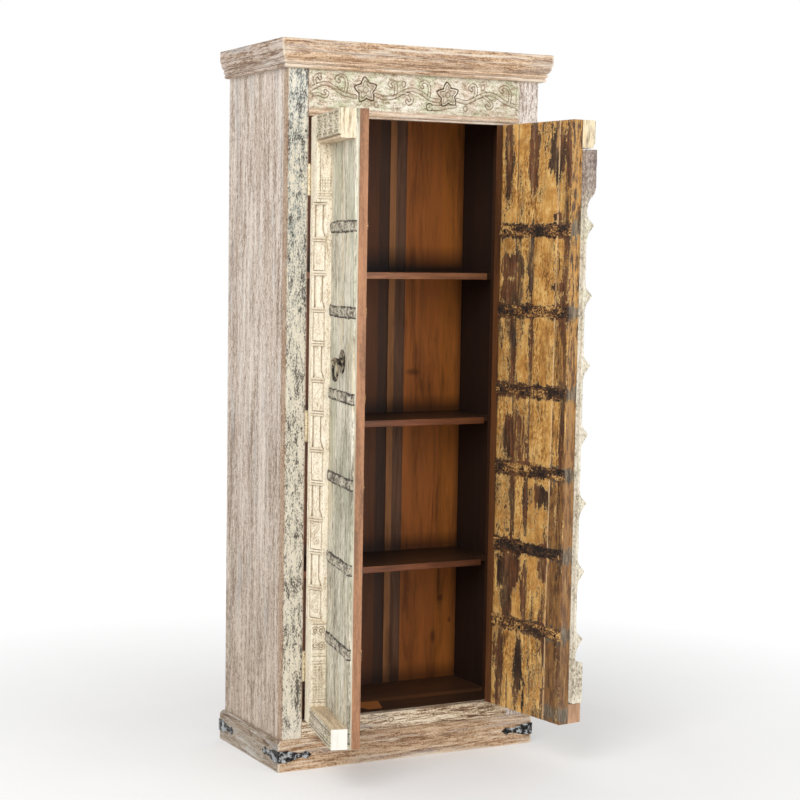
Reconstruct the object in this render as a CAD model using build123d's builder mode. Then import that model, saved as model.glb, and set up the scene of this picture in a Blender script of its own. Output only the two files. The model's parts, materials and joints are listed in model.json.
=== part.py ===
"""Tall two-door cabinet of reclaimed timber, hung with a pair of old carved door leaves.

Frame: X runs across the front from the centre line, Y runs back from the front face of the
face frame, Z runs up from the floor. Both doors stand open at rest.
"""

import os
from math import cos, radians, sin

from build123d import *

os.makedirs("parts", exist_ok=True)

# ---------------------------------------------------------------- carcass, in millimetres
overall_height = 1900
carcass_width = 752
carcass_depth = 370
side_thickness = 14
top_thickness = 18
back_thickness = 12
back_gap = 0.4  # between two back planks, and beside the sides
back_plank_widths = (169, 185, 125, 53)  # from the left; a fifth plank takes what is left
shelf_thickness = 18
shelf_arris = 1.5
plank_bevel = 1.5  # of the back planks' edges
shelf_setback = 125  # front edge of the shelves behind the face of the cabinet
floor_level = 116  # upper face of the cabinet floor
first_shelf_level = 505
shelf_pitch = 403
shelf_notch_reach = 13  # the shelves' notched front corners start this far inside the opening
shelf_notch_depth = 60
shelf_names = ("shelf_lower", "shelf_middle", "shelf_upper")
dado_depth = 5
fit_gap = 0.2  # clearance of joints between boards

# ---------------------------------------------------------------- face frame
stile_width = 60
stile_thickness = 24
bottom_rail_height = 45
bottom_rail_arris = 3
frieze_height = 152  # carved board between the opening and the top
frieze_margin = 7
frieze_sinking = 4
frieze_bead_height = 20
bead_setback = 2  # flat of the frieze moulding behind the face
bead_fillet = 3
bead_foot_fillet = 5
jamb_thickness = 20

# ---------------------------------------------------------------- cornice and plinth
cornice_height = 72
cornice_overhang = 29
cornice_fascia_height = 30
cornice_arris = 3
cornice_cove_height = 18
cornice_cove_depth = 9
cornice_step = 2
cornice_fillet = 3  # setback of the cove under the fascia
cornice_bead_setback = 2
cornice_foot_setback = 4
cornice_bead = 8
cornice_foot_bead = 10
plinth_height = 81
plinth_thickness = 25
plinth_overhang = 16
plinth_chamfer = 8
strap_reach = 98  # wing of an iron corner strap along the plinth
strap_corner_height = 31
strap_neck_height = 12
strap_spade_length = 28
strap_spade_height = 20
strap_thickness = 2.5
strap_level = 41

# ---------------------------------------------------------------- door leaves
left_open_angle = 103.5
right_open_angle = 97
door_hinge_gap = 1.5  # between a closed leaf and its stile
door_meeting_gap = 10.5  # lets the thick right leaf swing shut past the closed left one
door_head_gap = 4
door_sill_gap = 6
frame_depth = 40  # carved stile and rails, in front of the planks
plank_thickness = 10
backing_thickness = 22
door_stile_width = 68
splay_start = 28  # carved splay of the door stile, from its hinge edge
splay_depth = 28.5
unit_pitch = 180  # carved units of the door stile and bosses of the astragal
unit_top_drop = 217  # top of the uppermost carved unit, below the head of the leaf
stile_foot_block = 277  # least height of the square block at the stile's foot
unit_panel_height = 86
unit_pocket_depth = 4.5
unit_pocket_width = 38
column_width = 13
column_foot_height = 24
column_cap_height = 10
column_foot_margin = 2  # between a column's foot and the sides of its niche
top_rail_height = 62
bottom_rail_depth_gain = 2  # the bottom rail stands this much further out than the stile
door_bottom_rail_height = 52
nosing_height = 9
nosing_inset = 2
door_plank_count = 2
door_plank_gap = 0.5
backing_seam_shares = (0.295, 0.515, 0.83)  # joints of the old boards, as shares of the leaf's width
lipping_width = 22
backing_bevel = 3

# ---------------------------------------------------------------- astragal of the right leaf
astragal_width = 30
astragal_overlap = 14
astragal_shaft = 12
astragal_capital_height = 90
astragal_neck_height = 60
astragal_neck_depth = 19
astragal_base_height = 102
astragal_base_curve = 18
astragal_base_setback = 2
boss_reach = 36
boss_rise = 34
boss_fall = 40
boss_nose = 6  # how far behind the point the upper slope of a boss turns
boss_brow = 7
boss_chin_depth = 11
boss_chin = 12
boss_top_drop = 269  # point of the uppermost boss, below the head of the leaf
boss_foot_margin = 2  # least straight shaft between the lowest boss and the base
astragal_end_gap = 3  # between the astragal and the rails

# ---------------------------------------------------------------- iron door straps
door_strap_height = 29
door_strap_thickness = 2.5
strap_clearance = 0.5  # between the left leaf's straps and the astragal's lip
door_strap_top_drop = 281  # middle of the uppermost strap, below the head of the leaf
door_strap_pitch = 211

# ---------------------------------------------------------------- ring pulls
pull_level = 1091  # centre of the backplate and of the eye
pull_from_free_edge = 104
pull_plate_height = 60
pull_plate_width = 54
pull_plate_thickness = 3
boss_dome_radius = 12
boss_dome_height = 9
boss_dome_shoulder = 9  # radius where the beaten dome turns
eye_reach = 19  # from the planks to the centre of the eye
eye_bar_radius = 2.6
eye_hole_radius = 4.9
ring_radius = 23
ring_bar_radius = 4
ring_bar_sides = 8  # the bar is beaten from square stock

# ---------------------------------------------------------------- butt hinges
hinge_height = 76
hinge_leaf_width = 21
hinge_leaf_thickness = 1.6
knuckle_radius = 4.5
knuckle_gap = 0.3
knuckle_count = 5
hinge_axis_reach = 4.9  # from the closed door's face forward to the pin's axis
pin_radius = 2.5
pin_clearance = 0.05
pin_head_height = 2.5
pin_head_radius = 3.6
hinge_top_drop = 159  # hinge centre below the head of the leaf
hinge_foot_rise = 145  # hinge centre above the foot of the leaf
mortise_gap = 0.1

# ---------------------------------------------------------------- worked-out places
half_width = carcass_width / 2
inner_half = half_width - side_thickness
opening_half = half_width - stile_width
carcass_top = overall_height - top_thickness
frieze_foot = carcass_top - frieze_height
opening_top = frieze_foot - frieze_bead_height
back_face = carcass_depth - back_thickness
notch_end = shelf_setback + shelf_notch_depth
shelf_levels = [first_shelf_level + n * shelf_pitch for n in range(len(shelf_names))]
plinth_half = half_width + plinth_overhang
sill = plinth_height + bottom_rail_height
cornice_foot = overall_height - cornice_height
door_foot = sill + door_sill_gap
door_head = opening_top - door_head_gap
leaf_width = opening_half - door_hinge_gap - door_meeting_gap / 2
plank_front = hinge_axis_reach + frame_depth
plank_back = plank_front + plank_thickness
leaf_back = plank_back + backing_thickness
edge = door_hinge_gap / 2  # hinge edge of a leaf, from the hinge axis
free = edge + leaf_width  # free edge of a leaf, from the hinge axis
stile_edge = edge + door_stile_width
field_foot = door_foot + door_bottom_rail_height
field_head = door_head - top_rail_height
unit_head = door_head - unit_top_drop
unit_count = int((unit_head - door_foot - stile_foot_block) / unit_pitch)
strap_top = door_head - door_strap_top_drop
strap_count = int((strap_top - field_foot) / door_strap_pitch) + 1
strap_levels = [strap_top - n * door_strap_pitch for n in range(strap_count)]
hinge_head = door_head - hinge_top_drop
hinge_foot = door_foot + hinge_foot_rise
hinge_levels = (hinge_foot, (hinge_foot + hinge_head) / 2, hinge_head)


def save(piece, name):
    """Labels a finished piece and writes it to a file of its own."""
    piece.part.label = name
    export_step(piece.part, f"parts/{name}.step")


def slab(plane, x0, x1, y0, y1, z0, z1, mode=Mode.ADD):
    """Adds a block between these limits of a plane to the part that is open."""
    with BuildSketch(plane.offset(min(z0, z1)), mode=Mode.PRIVATE) as outline:
        with Locations(((x0 + x1) / 2, (y0 + y1) / 2)):
            Rectangle(abs(x1 - x0), abs(y1 - y0))
    extrude(to_extrude=outline.sketch, amount=abs(z1 - z0), mode=mode)


def rod(plane, x, y, radius, z0, z1, mode=Mode.ADD):
    """Adds an upright cylinder at a place of a plane to the part that is open."""
    with BuildSketch(plane.offset(z0), mode=Mode.PRIVATE) as outline:
        with Locations((x, y)):
            Circle(radius)
    extrude(to_extrude=outline.sketch, amount=z1 - z0, mode=mode)


# ================================================================ carcass
for side, sx in (("left", -1), ("right", 1)):
    with BuildPart() as side_panel:
        slab(Plane.XY, sx * inner_half, sx * half_width, stile_thickness, carcass_depth,
             plinth_height, carcass_top)
        dado_floor = sx * (inner_half + dado_depth)
        slab(Plane.XY, sx * inner_half, dado_floor, stile_thickness, back_face,
             floor_level - shelf_thickness, floor_level + fit_gap, Mode.SUBTRACT)
        for level in shelf_levels:
            slab(Plane.XY, sx * inner_half, dado_floor, notch_end, back_face,
                 level - shelf_thickness, level + fit_gap, Mode.SUBTRACT)
    save(side_panel, f"side_panel_{side}")

with BuildPart() as top_board:
    slab(Plane.XY, -half_width, half_width, 0, carcass_depth, carcass_top, overall_height)
save(top_board, "top_board")

shelf_half = inner_half + dado_depth - fit_gap
with BuildPart() as floor_board:
    slab(Plane.XY, -shelf_half, shelf_half, stile_thickness, back_face - fit_gap,
         floor_level - shelf_thickness, floor_level)
save(floor_board, "floor_board")

for name, level in zip(shelf_names, shelf_levels):
    with BuildPart() as shelf:
        slab(Plane.XY, -shelf_half, shelf_half, shelf_setback, back_face - fit_gap,
             level - shelf_thickness, level)
        for sx in (-1, 1):
            slab(Plane.XY, sx * (opening_half - shelf_notch_reach), sx * shelf_half,
                 shelf_setback, notch_end, level - shelf_thickness, level, Mode.SUBTRACT)
        front_edges = shelf.edges().filter_by(Axis.X).group_by(Axis.Y)[0]
        fillet(front_edges, radius=shelf_arris)
    save(shelf, name)

# The back is closed by upright planks of uneven width, each with a small bevel at its joints.
with BuildPart() as back_planks:
    seams = [-inner_half]
    for width in back_plank_widths:
        seams.append(seams[-1] + width)
    seams.append(inner_half)
    for start, end in zip(seams, seams[1:]):
        with BuildSketch(Plane.XY.offset(plinth_height)):
            with Locations(((start + end) / 2, back_face + back_thickness / 2)):
                Rectangle(end - start - back_gap, back_thickness)
        extrude(amount=carcass_top - plinth_height)
    front_arrises = back_planks.edges().filter_by(Axis.Z).group_by(Axis.Y)[0]
    chamfer(front_arrises, length=plank_bevel)
save(back_planks, "back_planks")

# ================================================================ face frame
mortise_depth = hinge_leaf_thickness + mortise_gap
for side, sx in (("left", -1), ("right", 1)):
    with BuildPart() as stile:
        slab(Plane.XY, sx * opening_half, sx * half_width, 0, stile_thickness,
             plinth_height, carcass_top)
        for level in hinge_levels:
            slab(Plane.XY, sx * opening_half, sx * (opening_half + mortise_depth),
                 0, hinge_leaf_width + mortise_gap,
                 level - hinge_height / 2 - mortise_gap,
                 level + hinge_height / 2 + mortise_gap, Mode.SUBTRACT)
    save(stile, f"stile_{side}")

    # The jamb lining stands behind the stile, beside the closed door, up to the shelves.
    with BuildPart() as jamb:
        slab(Plane.XY, sx * opening_half, sx * (opening_half + jamb_thickness),
             stile_thickness, shelf_setback - fit_gap, floor_level, opening_top)
    save(jamb, f"jamb_{side}")

with BuildPart() as bottom_rail:
    slab(Plane.XY, -opening_half, opening_half, 0, stile_thickness, plinth_height, sill)
    rail_front = bottom_rail.edges().filter_by(Axis.X).group_by(Axis.Z)[-1].sort_by(Axis.Y)[0]
    fillet(rail_front, radius=bottom_rail_arris)
save(bottom_rail, "bottom_rail")

# The frieze board has a sunk field for its carving, inside a plain margin.
with BuildPart() as frieze_board:
    slab(Plane.XY, -opening_half, opening_half, 0, stile_thickness, frieze_foot, carcass_top)
    slab(Plane.XY, -opening_half + frieze_margin, opening_half - frieze_margin,
         0, frieze_sinking, frieze_foot + frieze_margin, cornice_foot, Mode.SUBTRACT)
save(frieze_board, "frieze_board")

# Section of the moulding under the frieze: a flat fillet, a round bead and a soft lower edge.
with BuildPart() as frieze_bead:
    bead_end = Plane(origin=(-opening_half, 0, 0), x_dir=(0, 1, 0), z_dir=(1, 0, 0))
    bead_head = frieze_foot - bead_fillet
    bead_foot = opening_top + bead_foot_fillet
    bead_radius = (bead_head - bead_foot) / 2
    with BuildSketch(bead_end):
        with BuildLine():
            Line((stile_thickness, opening_top), (stile_thickness, frieze_foot))
            Line((stile_thickness, frieze_foot), (bead_setback, frieze_foot))
            Line((bead_setback, frieze_foot), (bead_setback, bead_head))
            ThreePointArc(
                (bead_setback, bead_head),
                (bead_setback - bead_radius, bead_head - bead_radius),
                (bead_setback, bead_foot),
            )
            Line((bead_setback, bead_foot), (bead_setback, opening_top))
            Line((bead_setback, opening_top), (stile_thickness, opening_top))
        make_face()
    extrude(amount=2 * opening_half)
save(frieze_bead, "frieze_bead")


# ================================================================ cornice
def cornice_section(plane):
    """The cornice's section: x outward from the carcass, y up. Drawn on the plane it is given."""
    fascia_foot = overall_height - cornice_fascia_height
    cove_head = fascia_foot - cornice_step
    cove_foot = cove_head - cornice_cove_height
    bead_head = cove_foot - cornice_step
    bead_foot = bead_head - cornice_bead
    foot_bead_head = bead_foot - cornice_step
    cove_out = cornice_overhang - cornice_fillet
    cove_in = cove_out - cornice_cove_depth
    bead_out = cove_in - cornice_bead_setback
    foot_out = bead_out - cornice_foot_setback
    with BuildSketch(plane, mode=Mode.PRIVATE) as section:
        with BuildLine():
            Polyline(
                (0, cornice_foot),
                (0, overall_height),
                (cornice_overhang, overall_height),
                (cornice_overhang, fascia_foot),
                (cove_out, fascia_foot),
                (cove_out, cove_head),
            )
            RadiusArc((cove_out, cove_head), (cove_in, cove_foot), cornice_cove_height)
            Polyline((cove_in, cove_foot), (cove_in, bead_head), (bead_out, bead_head))
            ThreePointArc(
                (bead_out, bead_head),
                (bead_out + cornice_bead / 2, (bead_head + bead_foot) / 2),
                (bead_out, bead_foot),
            )
            Polyline((bead_out, bead_foot), (bead_out, foot_bead_head), (foot_out, foot_bead_head))
            ThreePointArc(
                (foot_out, foot_bead_head),
                (foot_out + cornice_foot_bead / 2, (foot_bead_head + cornice_foot) / 2),
                (foot_out, cornice_foot),
            )
            Line((foot_out, cornice_foot), (0, cornice_foot))
        make_face()
        fillet(section.vertices().group_by(Axis.Y)[-1].sort_by(Axis.X)[-1], radius=cornice_arris)
    return section.sketch


def mitre(sx, keep):
    """Cuts the open part at the front corner of one side, where two mouldings meet at 45 degrees."""
    corner = Plane(origin=(sx * half_width, 0, 0), x_dir=(sx, -1, 0), z_dir=(1, sx, 0))
    split(bisect_by=corner, keep=keep)


run_half = half_width + cornice_overhang
with BuildPart() as cornice_front:
    run_end = Plane(origin=(run_half, 0, 0), x_dir=(0, -1, 0), z_dir=(-1, 0, 0))
    extrude(to_extrude=cornice_section(run_end), amount=2 * run_half)
    mitre(1, Keep.BOTTOM)
    mitre(-1, Keep.TOP)
save(cornice_front, "cornice_front")

for side, sx in (("left", -1), ("right", 1)):
    with BuildPart() as cornice_side:
        if sx < 0:
            run_end = Plane(origin=(-half_width, carcass_depth, 0), x_dir=(-1, 0, 0), z_dir=(0, 1, 0))
            reach = -(carcass_depth + cornice_overhang)
        else:
            run_end = Plane(origin=(half_width, -cornice_overhang, 0), x_dir=(1, 0, 0), z_dir=(0, -1, 0))
            reach = -(carcass_depth + cornice_overhang)
        extrude(to_extrude=cornice_section(run_end), amount=reach)
        mitre(sx, Keep.TOP if sx > 0 else Keep.BOTTOM)
    save(cornice_side, f"cornice_{side}")

# ================================================================ plinth
plinth_back = plinth_half - plinth_thickness
plinth_inset = plinth_thickness - plinth_overhang  # how far the boards reach in under the carcass


def plinth_section(plane):
    """The plinth board's section: x outward from its inner face, y up, with a weathered top arris."""
    with BuildSketch(plane, mode=Mode.PRIVATE) as section:
        with BuildLine():
            Polyline(
                (-plinth_inset, 0),
                (plinth_overhang, 0),
                (plinth_overhang, plinth_height - plinth_chamfer),
                (plinth_overhang - plinth_chamfer, plinth_height),
                (-plinth_inset, plinth_height),
                close=True,
            )
        make_face()
    return section.sketch


with BuildPart() as plinth_front:
    run_end = Plane(origin=(plinth_half, 0, 0), x_dir=(0, -1, 0), z_dir=(-1, 0, 0))
    extrude(to_extrude=plinth_section(run_end), amount=2 * plinth_half)
    mitre(1, Keep.BOTTOM)
    mitre(-1, Keep.TOP)
save(plinth_front, "plinth_front")

for side, sx in (("left", -1), ("right", 1)):
    with BuildPart() as plinth_side:
        if sx < 0:
            run_end = Plane(origin=(-half_width, carcass_depth, 0), x_dir=(-1, 0, 0), z_dir=(0, 1, 0))
        else:
            run_end = Plane(origin=(half_width, -plinth_overhang, 0), x_dir=(1, 0, 0), z_dir=(0, -1, 0))
        extrude(to_extrude=plinth_section(run_end), amount=-(carcass_depth + plinth_overhang))
        mitre(sx, Keep.TOP if sx > 0 else Keep.BOTTOM)
    save(plinth_side, f"plinth_{side}")

with BuildPart() as plinth_rear:
    slab(Plane.XY, -plinth_back, plinth_back, carcass_depth - plinth_thickness, carcass_depth,
         0, plinth_height)
save(plinth_rear, "plinth_back")


def strap_wing(corner, start):
    """One wing of a forged corner strap: broad at the corner, a narrow neck and a spade tip.

    Drawn on a plane whose origin is the corner and whose x runs along the board.
    """
    neck_end = strap_reach - strap_spade_length
    shoulder = neck_end + strap_spade_length * 0.35
    with BuildSketch(corner) as wing:
        with BuildLine():
            Line((start, -strap_corner_height / 2), (start, strap_corner_height / 2))
            Line((start, strap_corner_height / 2), (0.25 * neck_end, strap_corner_height / 2))
            Spline(
                (0.25 * neck_end, strap_corner_height / 2),
                (neck_end, strap_neck_height / 2),
                tangents=((1, 0), (1, 0)),
            )
            Spline(
                (neck_end, strap_neck_height / 2),
                (shoulder, strap_spade_height / 2),
                (strap_reach, 0),
                tangents=((1, 0), (1, -0.4)),
            )
            mirror(about=Plane.XZ)
        make_face()
    extrude(to_extrude=wing.sketch, amount=strap_thickness)


for row, sy in (("front", -1), ("back", 1)):
    for side, sx in (("left", -1), ("right", 1)):
        face_y = -plinth_overhang if sy < 0 else carcass_depth
        corner_strap_origin = (sx * plinth_half, face_y, strap_level)
        with BuildPart() as corner_strap:
            face_wing = Plane(origin=corner_strap_origin, x_dir=(-sx, 0, 0), z_dir=(0, sy, 0))
            strap_wing(face_wing, -strap_thickness)
            side_wing = Plane(origin=corner_strap_origin, x_dir=(0, -sy, 0), z_dir=(sx, 0, 0))
            strap_wing(side_wing, 0)
        save(corner_strap, f"corner_strap_{row}_{side}")


# ================================================================ doors
def leaf_plane(sx, angle):
    """The plan of an open leaf, with its origin on the hinge axis and y from its front to its back.

    The left leaf lies along +x of its plane and the right leaf along -x.
    """
    turn = radians(angle)
    return Plane(
        origin=(sx * (opening_half - edge), -hinge_axis_reach, 0),
        x_dir=(cos(turn), sx * sin(turn), 0),
        z_dir=(0, 0, 1),
    )


def along_leaf(leaf, x, y, z):
    """A place given on a leaf's plane, as a place of the cabinet."""
    return leaf.from_local_coords((x, y, z))


def carve_units(leaf, m):
    """Sinks the row of carved units into the splay of a door stile.

    Each unit is a plain panel below a sunk niche, and in the niche stands a slender column with
    a flared cap and a spreading foot.
    """
    run = door_stile_width - splay_start
    length = (run**2 + splay_depth**2) ** 0.5
    along = leaf.x_dir * (run / length) + leaf.y_dir * (m * splay_depth / length)
    outward = leaf.x_dir * (m * splay_depth / length) - leaf.y_dir * (run / length)
    middle = m * (edge + splay_start + run / 2)
    for n in range(unit_count):
        niche_head = unit_head - n * unit_pitch
        niche_foot = niche_head - (unit_pitch - unit_panel_height)
        splay = Plane(
            origin=along_leaf(leaf, middle, hinge_axis_reach + splay_depth / 2, 0),
            x_dir=along,
            z_dir=outward,
        )
        slab(splay, -unit_pocket_width / 2, unit_pocket_width / 2, niche_foot, niche_head,
             -unit_pocket_depth, 1, Mode.SUBTRACT)
        half_foot = unit_pocket_width / 2 - column_foot_margin
        half_shaft = column_width / 2
        half_cap = column_width
        with BuildSketch(splay.offset(-unit_pocket_depth - 1)) as column:
            with BuildLine():
                Polyline(
                    (-half_foot, niche_foot),
                    (half_foot, niche_foot),
                    (half_shaft, niche_foot + column_foot_height),
                    (half_shaft, niche_head - column_cap_height),
                    (half_cap, niche_head),
                    (-half_cap, niche_head),
                    (-half_shaft, niche_head - column_cap_height),
                    (-half_shaft, niche_foot + column_foot_height),
                    close=True,
                )
            make_face()
        extrude(to_extrude=column.sketch, amount=unit_pocket_depth)


def hinge_zones():
    """The heights between which each of the five knuckles of a hinge stands, from the lowest up."""
    step = hinge_height / knuckle_count
    return [(-hinge_height / 2 + n * step, -hinge_height / 2 + (n + 1) * step)
            for n in range(knuckle_count)]


def half_hinges(plane, m, first):
    """One leaf of each butt hinge of a door, with every second knuckle from the first one named."""
    for level in hinge_levels:
        slab(plane, m * edge, m * (edge + hinge_leaf_thickness),
             hinge_axis_reach, hinge_axis_reach + hinge_leaf_width,
             level - hinge_height / 2, level + hinge_height / 2)
        for low, high in hinge_zones()[first::2]:
            foot = level + low + knuckle_gap / 2
            head = level + high - knuckle_gap / 2
            slab(plane, m * edge, m * (edge + hinge_leaf_thickness), 0, hinge_axis_reach, foot, head)
            rod(plane, 0, 0, knuckle_radius, foot, head)
            rod(plane, 0, 0, pin_radius + pin_clearance, foot, head, Mode.SUBTRACT)


for side, sx, angle in (("left", -1, left_open_angle), ("right", 1, right_open_angle)):
    m = -sx
    leaf = leaf_plane(sx, angle)
    has_astragal = side == "right"
    start_x = min(m * stile_edge, m * free)
    rail_end = Plane(origin=along_leaf(leaf, start_x, 0, 0), x_dir=leaf.y_dir, z_dir=leaf.x_dir)
    field_width = free - stile_edge

    # The carved stile at the hinge side: square blocks at its ends and a splay between them.
    with BuildPart() as door_stile:
        slab(leaf, m * edge, m * stile_edge, hinge_axis_reach, plank_front, door_foot, door_head)
        splay_foot = unit_head - unit_count * unit_pitch
        with BuildSketch(leaf.offset(splay_foot)) as splay_waste:
            with BuildLine():
                Polyline(
                    (m * (edge + splay_start), hinge_axis_reach),
                    (m * stile_edge, hinge_axis_reach),
                    (m * stile_edge, hinge_axis_reach + splay_depth),
                    close=True,
                )
            make_face()
        extrude(to_extrude=splay_waste.sketch, amount=unit_head - splay_foot, mode=Mode.SUBTRACT)
        carve_units(leaf, m)
        for level in hinge_levels:
            slab(leaf, m * edge, m * (edge + mortise_depth),
                 hinge_axis_reach, hinge_axis_reach + hinge_leaf_width + mortise_gap,
                 level - hinge_height / 2 - mortise_gap,
                 level + hinge_height / 2 + mortise_gap, Mode.SUBTRACT)
    save(door_stile, f"{side}_door_stile")

    # The top rail has a rounded nosing along its lower edge.
    with BuildPart() as door_top_rail:
        slab(rail_end, hinge_axis_reach, plank_front, field_head, door_head, 0, field_width)
        nose = nosing_height / 2
        nose_front = hinge_axis_reach + nosing_inset + nose
        with BuildSketch(rail_end) as nosing:
            with BuildLine():
                Line((plank_front, field_head), (nose_front, field_head))
                ThreePointArc(
                    (nose_front, field_head),
                    (nose_front - nose, field_head - nose),
                    (nose_front, field_head - nosing_height),
                )
                Line((nose_front, field_head - nosing_height), (plank_front, field_head - nosing_height))
                Line((plank_front, field_head - nosing_height), (plank_front, field_head))
            make_face()
        extrude(to_extrude=nosing.sketch, amount=field_width)
    save(door_top_rail, f"{side}_door_top_rail")

    with BuildPart() as door_bottom_rail:
        slab(rail_end, hinge_axis_reach - bottom_rail_depth_gain, plank_front,
             door_foot, field_foot, 0, field_width)
    save(door_bottom_rail, f"{side}_door_bottom_rail")

    with BuildPart() as door_planks:
        plank_step = leaf_width / door_plank_count
        for n in range(door_plank_count):
            slab(leaf, m * (edge + n * plank_step + door_plank_gap / 2 * (n > 0)),
                 m * (edge + (n + 1) * plank_step - door_plank_gap / 2 * (n < door_plank_count - 1)),
                 plank_front, plank_back, door_foot, door_head)
    save(door_planks, f"{side}_door_planks")

    # Behind the planks a lipping runs down the hinge side, and on the left leaf down both sides.
    with BuildPart() as hinge_lipping:
        slab(leaf, m * edge, m * (edge + lipping_width), plank_back, leaf_back, door_foot, door_head)
    save(hinge_lipping, f"{side}_door_hinge_lipping")

    backing_end = free
    if not has_astragal:
        backing_end = free - lipping_width
        with BuildPart() as free_lipping:
            slab(leaf, m * backing_end, m * free, plank_back, leaf_back, door_foot, door_head)
        save(free_lipping, f"{side}_door_free_lipping")

    with BuildPart() as door_backing:
        seams = [edge + leaf_width * share for share in backing_seam_shares]
        board_edges = [edge + lipping_width, *seams, backing_end]
        for board_start, board_end in zip(board_edges, board_edges[1:]):
            near = board_start + door_plank_gap / 2
            far = board_end - door_plank_gap / 2
            with BuildSketch(leaf.offset(door_foot)) as board_plan:
                with BuildLine():
                    Polyline(
                        (m * near, plank_back),
                        (m * far, plank_back),
                        (m * far, leaf_back - backing_bevel),
                        (m * (far - backing_bevel), leaf_back),
                        (m * (near + backing_bevel), leaf_back),
                        (m * near, leaf_back - backing_bevel),
                        close=True,
                    )
                make_face()
            extrude(to_extrude=board_plan.sketch, amount=door_head - door_foot)
    save(door_backing, f"{side}_door_backing")

    # The right leaf carries the astragal, which covers the meeting of the two closed leaves.
    front_strap_end = free
    if has_astragal:
        astragal_start = free + astragal_overlap - astragal_width
        front_strap_end = astragal_start - fit_gap
        foot = field_foot + astragal_end_gap
        head = field_head - nosing_height - astragal_end_gap
        shaft_front = plank_front - astragal_shaft
        boss_front = plank_front - boss_reach
        neck_front = plank_front - astragal_neck_depth
        capital_foot = head - astragal_capital_height
        base_head = foot + astragal_base_height
        base_front = hinge_axis_reach + astragal_base_setback
        boss_head = door_head - boss_top_drop
        boss_run = boss_head - boss_fall - boss_foot_margin - astragal_base_curve - base_head
        boss_count = int(boss_run / unit_pitch) + 1
        astragal_end = Plane(
            origin=along_leaf(leaf, m * (free + astragal_overlap), 0, 0),
            x_dir=leaf.y_dir,
            z_dir=leaf.x_dir,
        )
        with BuildPart() as astragal:
            with BuildSketch(astragal_end) as profile:
                with BuildLine():
                    Line((plank_front, foot), (plank_front, head))
                    Line((plank_front, head), (hinge_axis_reach, head))
                    Line((hinge_axis_reach, head), (hinge_axis_reach, capital_foot))
                    Spline(
                        (hinge_axis_reach, capital_foot),
                        (neck_front, capital_foot - 0.7 * astragal_neck_height),
                        (shaft_front, capital_foot - astragal_neck_height),
                        tangents=((0, -1), (0.2, -1)),
                    )
                    turn_point = (shaft_front, capital_foot - astragal_neck_height)
                    for n in range(boss_count):
                        point = boss_head - n * unit_pitch
                        Line(turn_point, (shaft_front, point + boss_rise))
                        Spline(
                            (shaft_front, point + boss_rise),
                            (boss_front + boss_nose, point + boss_brow),
                            (boss_front, point),
                            tangents=((0, -1), (-0.8, -1)),
                        )
                        Spline(
                            (boss_front, point),
                            (boss_front + boss_chin_depth, point - boss_chin),
                            (shaft_front, point - boss_fall),
                            tangents=((1, -0.6), (0, -1)),
                        )
                        turn_point = (shaft_front, point - boss_fall)
                    Line(turn_point, (shaft_front, base_head + astragal_base_curve))
                    Spline(
                        (shaft_front, base_head + astragal_base_curve),
                        (base_front, base_head),
                        tangents=((0, -1), (0, -1)),
                    )
                    Line((base_front, base_head), (base_front, foot))
                    Line((base_front, foot), (plank_front, foot))
                make_face()
            extrude(to_extrude=profile.sketch, amount=astragal_width)
            # The lip that covers the other leaf is rebated clear of that leaf's iron straps.
            rebate_floor = plank_front - door_strap_thickness - strap_clearance
            slab(leaf, m * free, m * (free + astragal_overlap), rebate_floor, plank_front, foot, head,
                 Mode.SUBTRACT)
        save(astragal, f"{side}_door_astragal")

    with BuildPart() as front_straps:
        for level in strap_levels:
            slab(leaf, m * stile_edge, m * front_strap_end,
                 plank_front - door_strap_thickness, plank_front,
                 level - door_strap_height / 2, level + door_strap_height / 2)
    save(front_straps, f"{side}_door_front_straps")

    with BuildPart() as back_straps:
        for level in strap_levels:
            slab(leaf, m * (edge + lipping_width), m * free,
                 leaf_back, leaf_back + door_strap_thickness,
                 level - door_strap_height / 2, level + door_strap_height / 2)
    save(back_straps, f"{side}_door_back_straps")

    # ------------------------------------------------------------ ring pull
    pull = Plane(
        origin=along_leaf(leaf, m * (free - pull_from_free_edge), plank_front, pull_level),
        x_dir=leaf.x_dir,
        z_dir=-leaf.y_dir,
    )
    with BuildPart() as pull_plate:
        with BuildSketch(pull):
            with BuildLine():
                tip = pull_plate_height / 2
                ThreePointArc((0, tip), (pull_plate_width / 2, 0), (0, -tip))
                ThreePointArc((0, -tip), (-pull_plate_width / 2, 0), (0, tip))
            make_face()
        extrude(amount=pull_plate_thickness)
    save(pull_plate, f"{side}_pull_plate")

    eye_outer = eye_hole_radius + 2 * eye_bar_radius
    eye = Plane(origin=pull.origin + pull.z_dir * eye_reach, x_dir=pull.z_dir, z_dir=pull.x_dir)
    with BuildPart() as pull_boss:
        dome_plane = Plane(origin=pull.origin, x_dir=pull.x_dir, z_dir=-pull.y_dir)
        dome_top = pull_plate_thickness + boss_dome_height
        with BuildSketch(dome_plane) as dome:
            with BuildLine():
                Polyline(
                    (0, pull_plate_thickness),
                    (boss_dome_radius, pull_plate_thickness),
                    (boss_dome_shoulder, pull_plate_thickness + boss_dome_height * 0.7),
                    (0, dome_top),
                    close=True,
                )
            make_face()
        revolve(profiles=dome.sketch, axis=Axis(pull.origin, pull.z_dir))
        rod(eye.offset(-eye_bar_radius), 0, 0, eye_outer, 0, 2 * eye_bar_radius)
        rod(eye.offset(-eye_bar_radius), 0, 0, eye_hole_radius, 0, 2 * eye_bar_radius, Mode.SUBTRACT)
    save(pull_boss, f"{side}_pull_boss")

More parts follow.
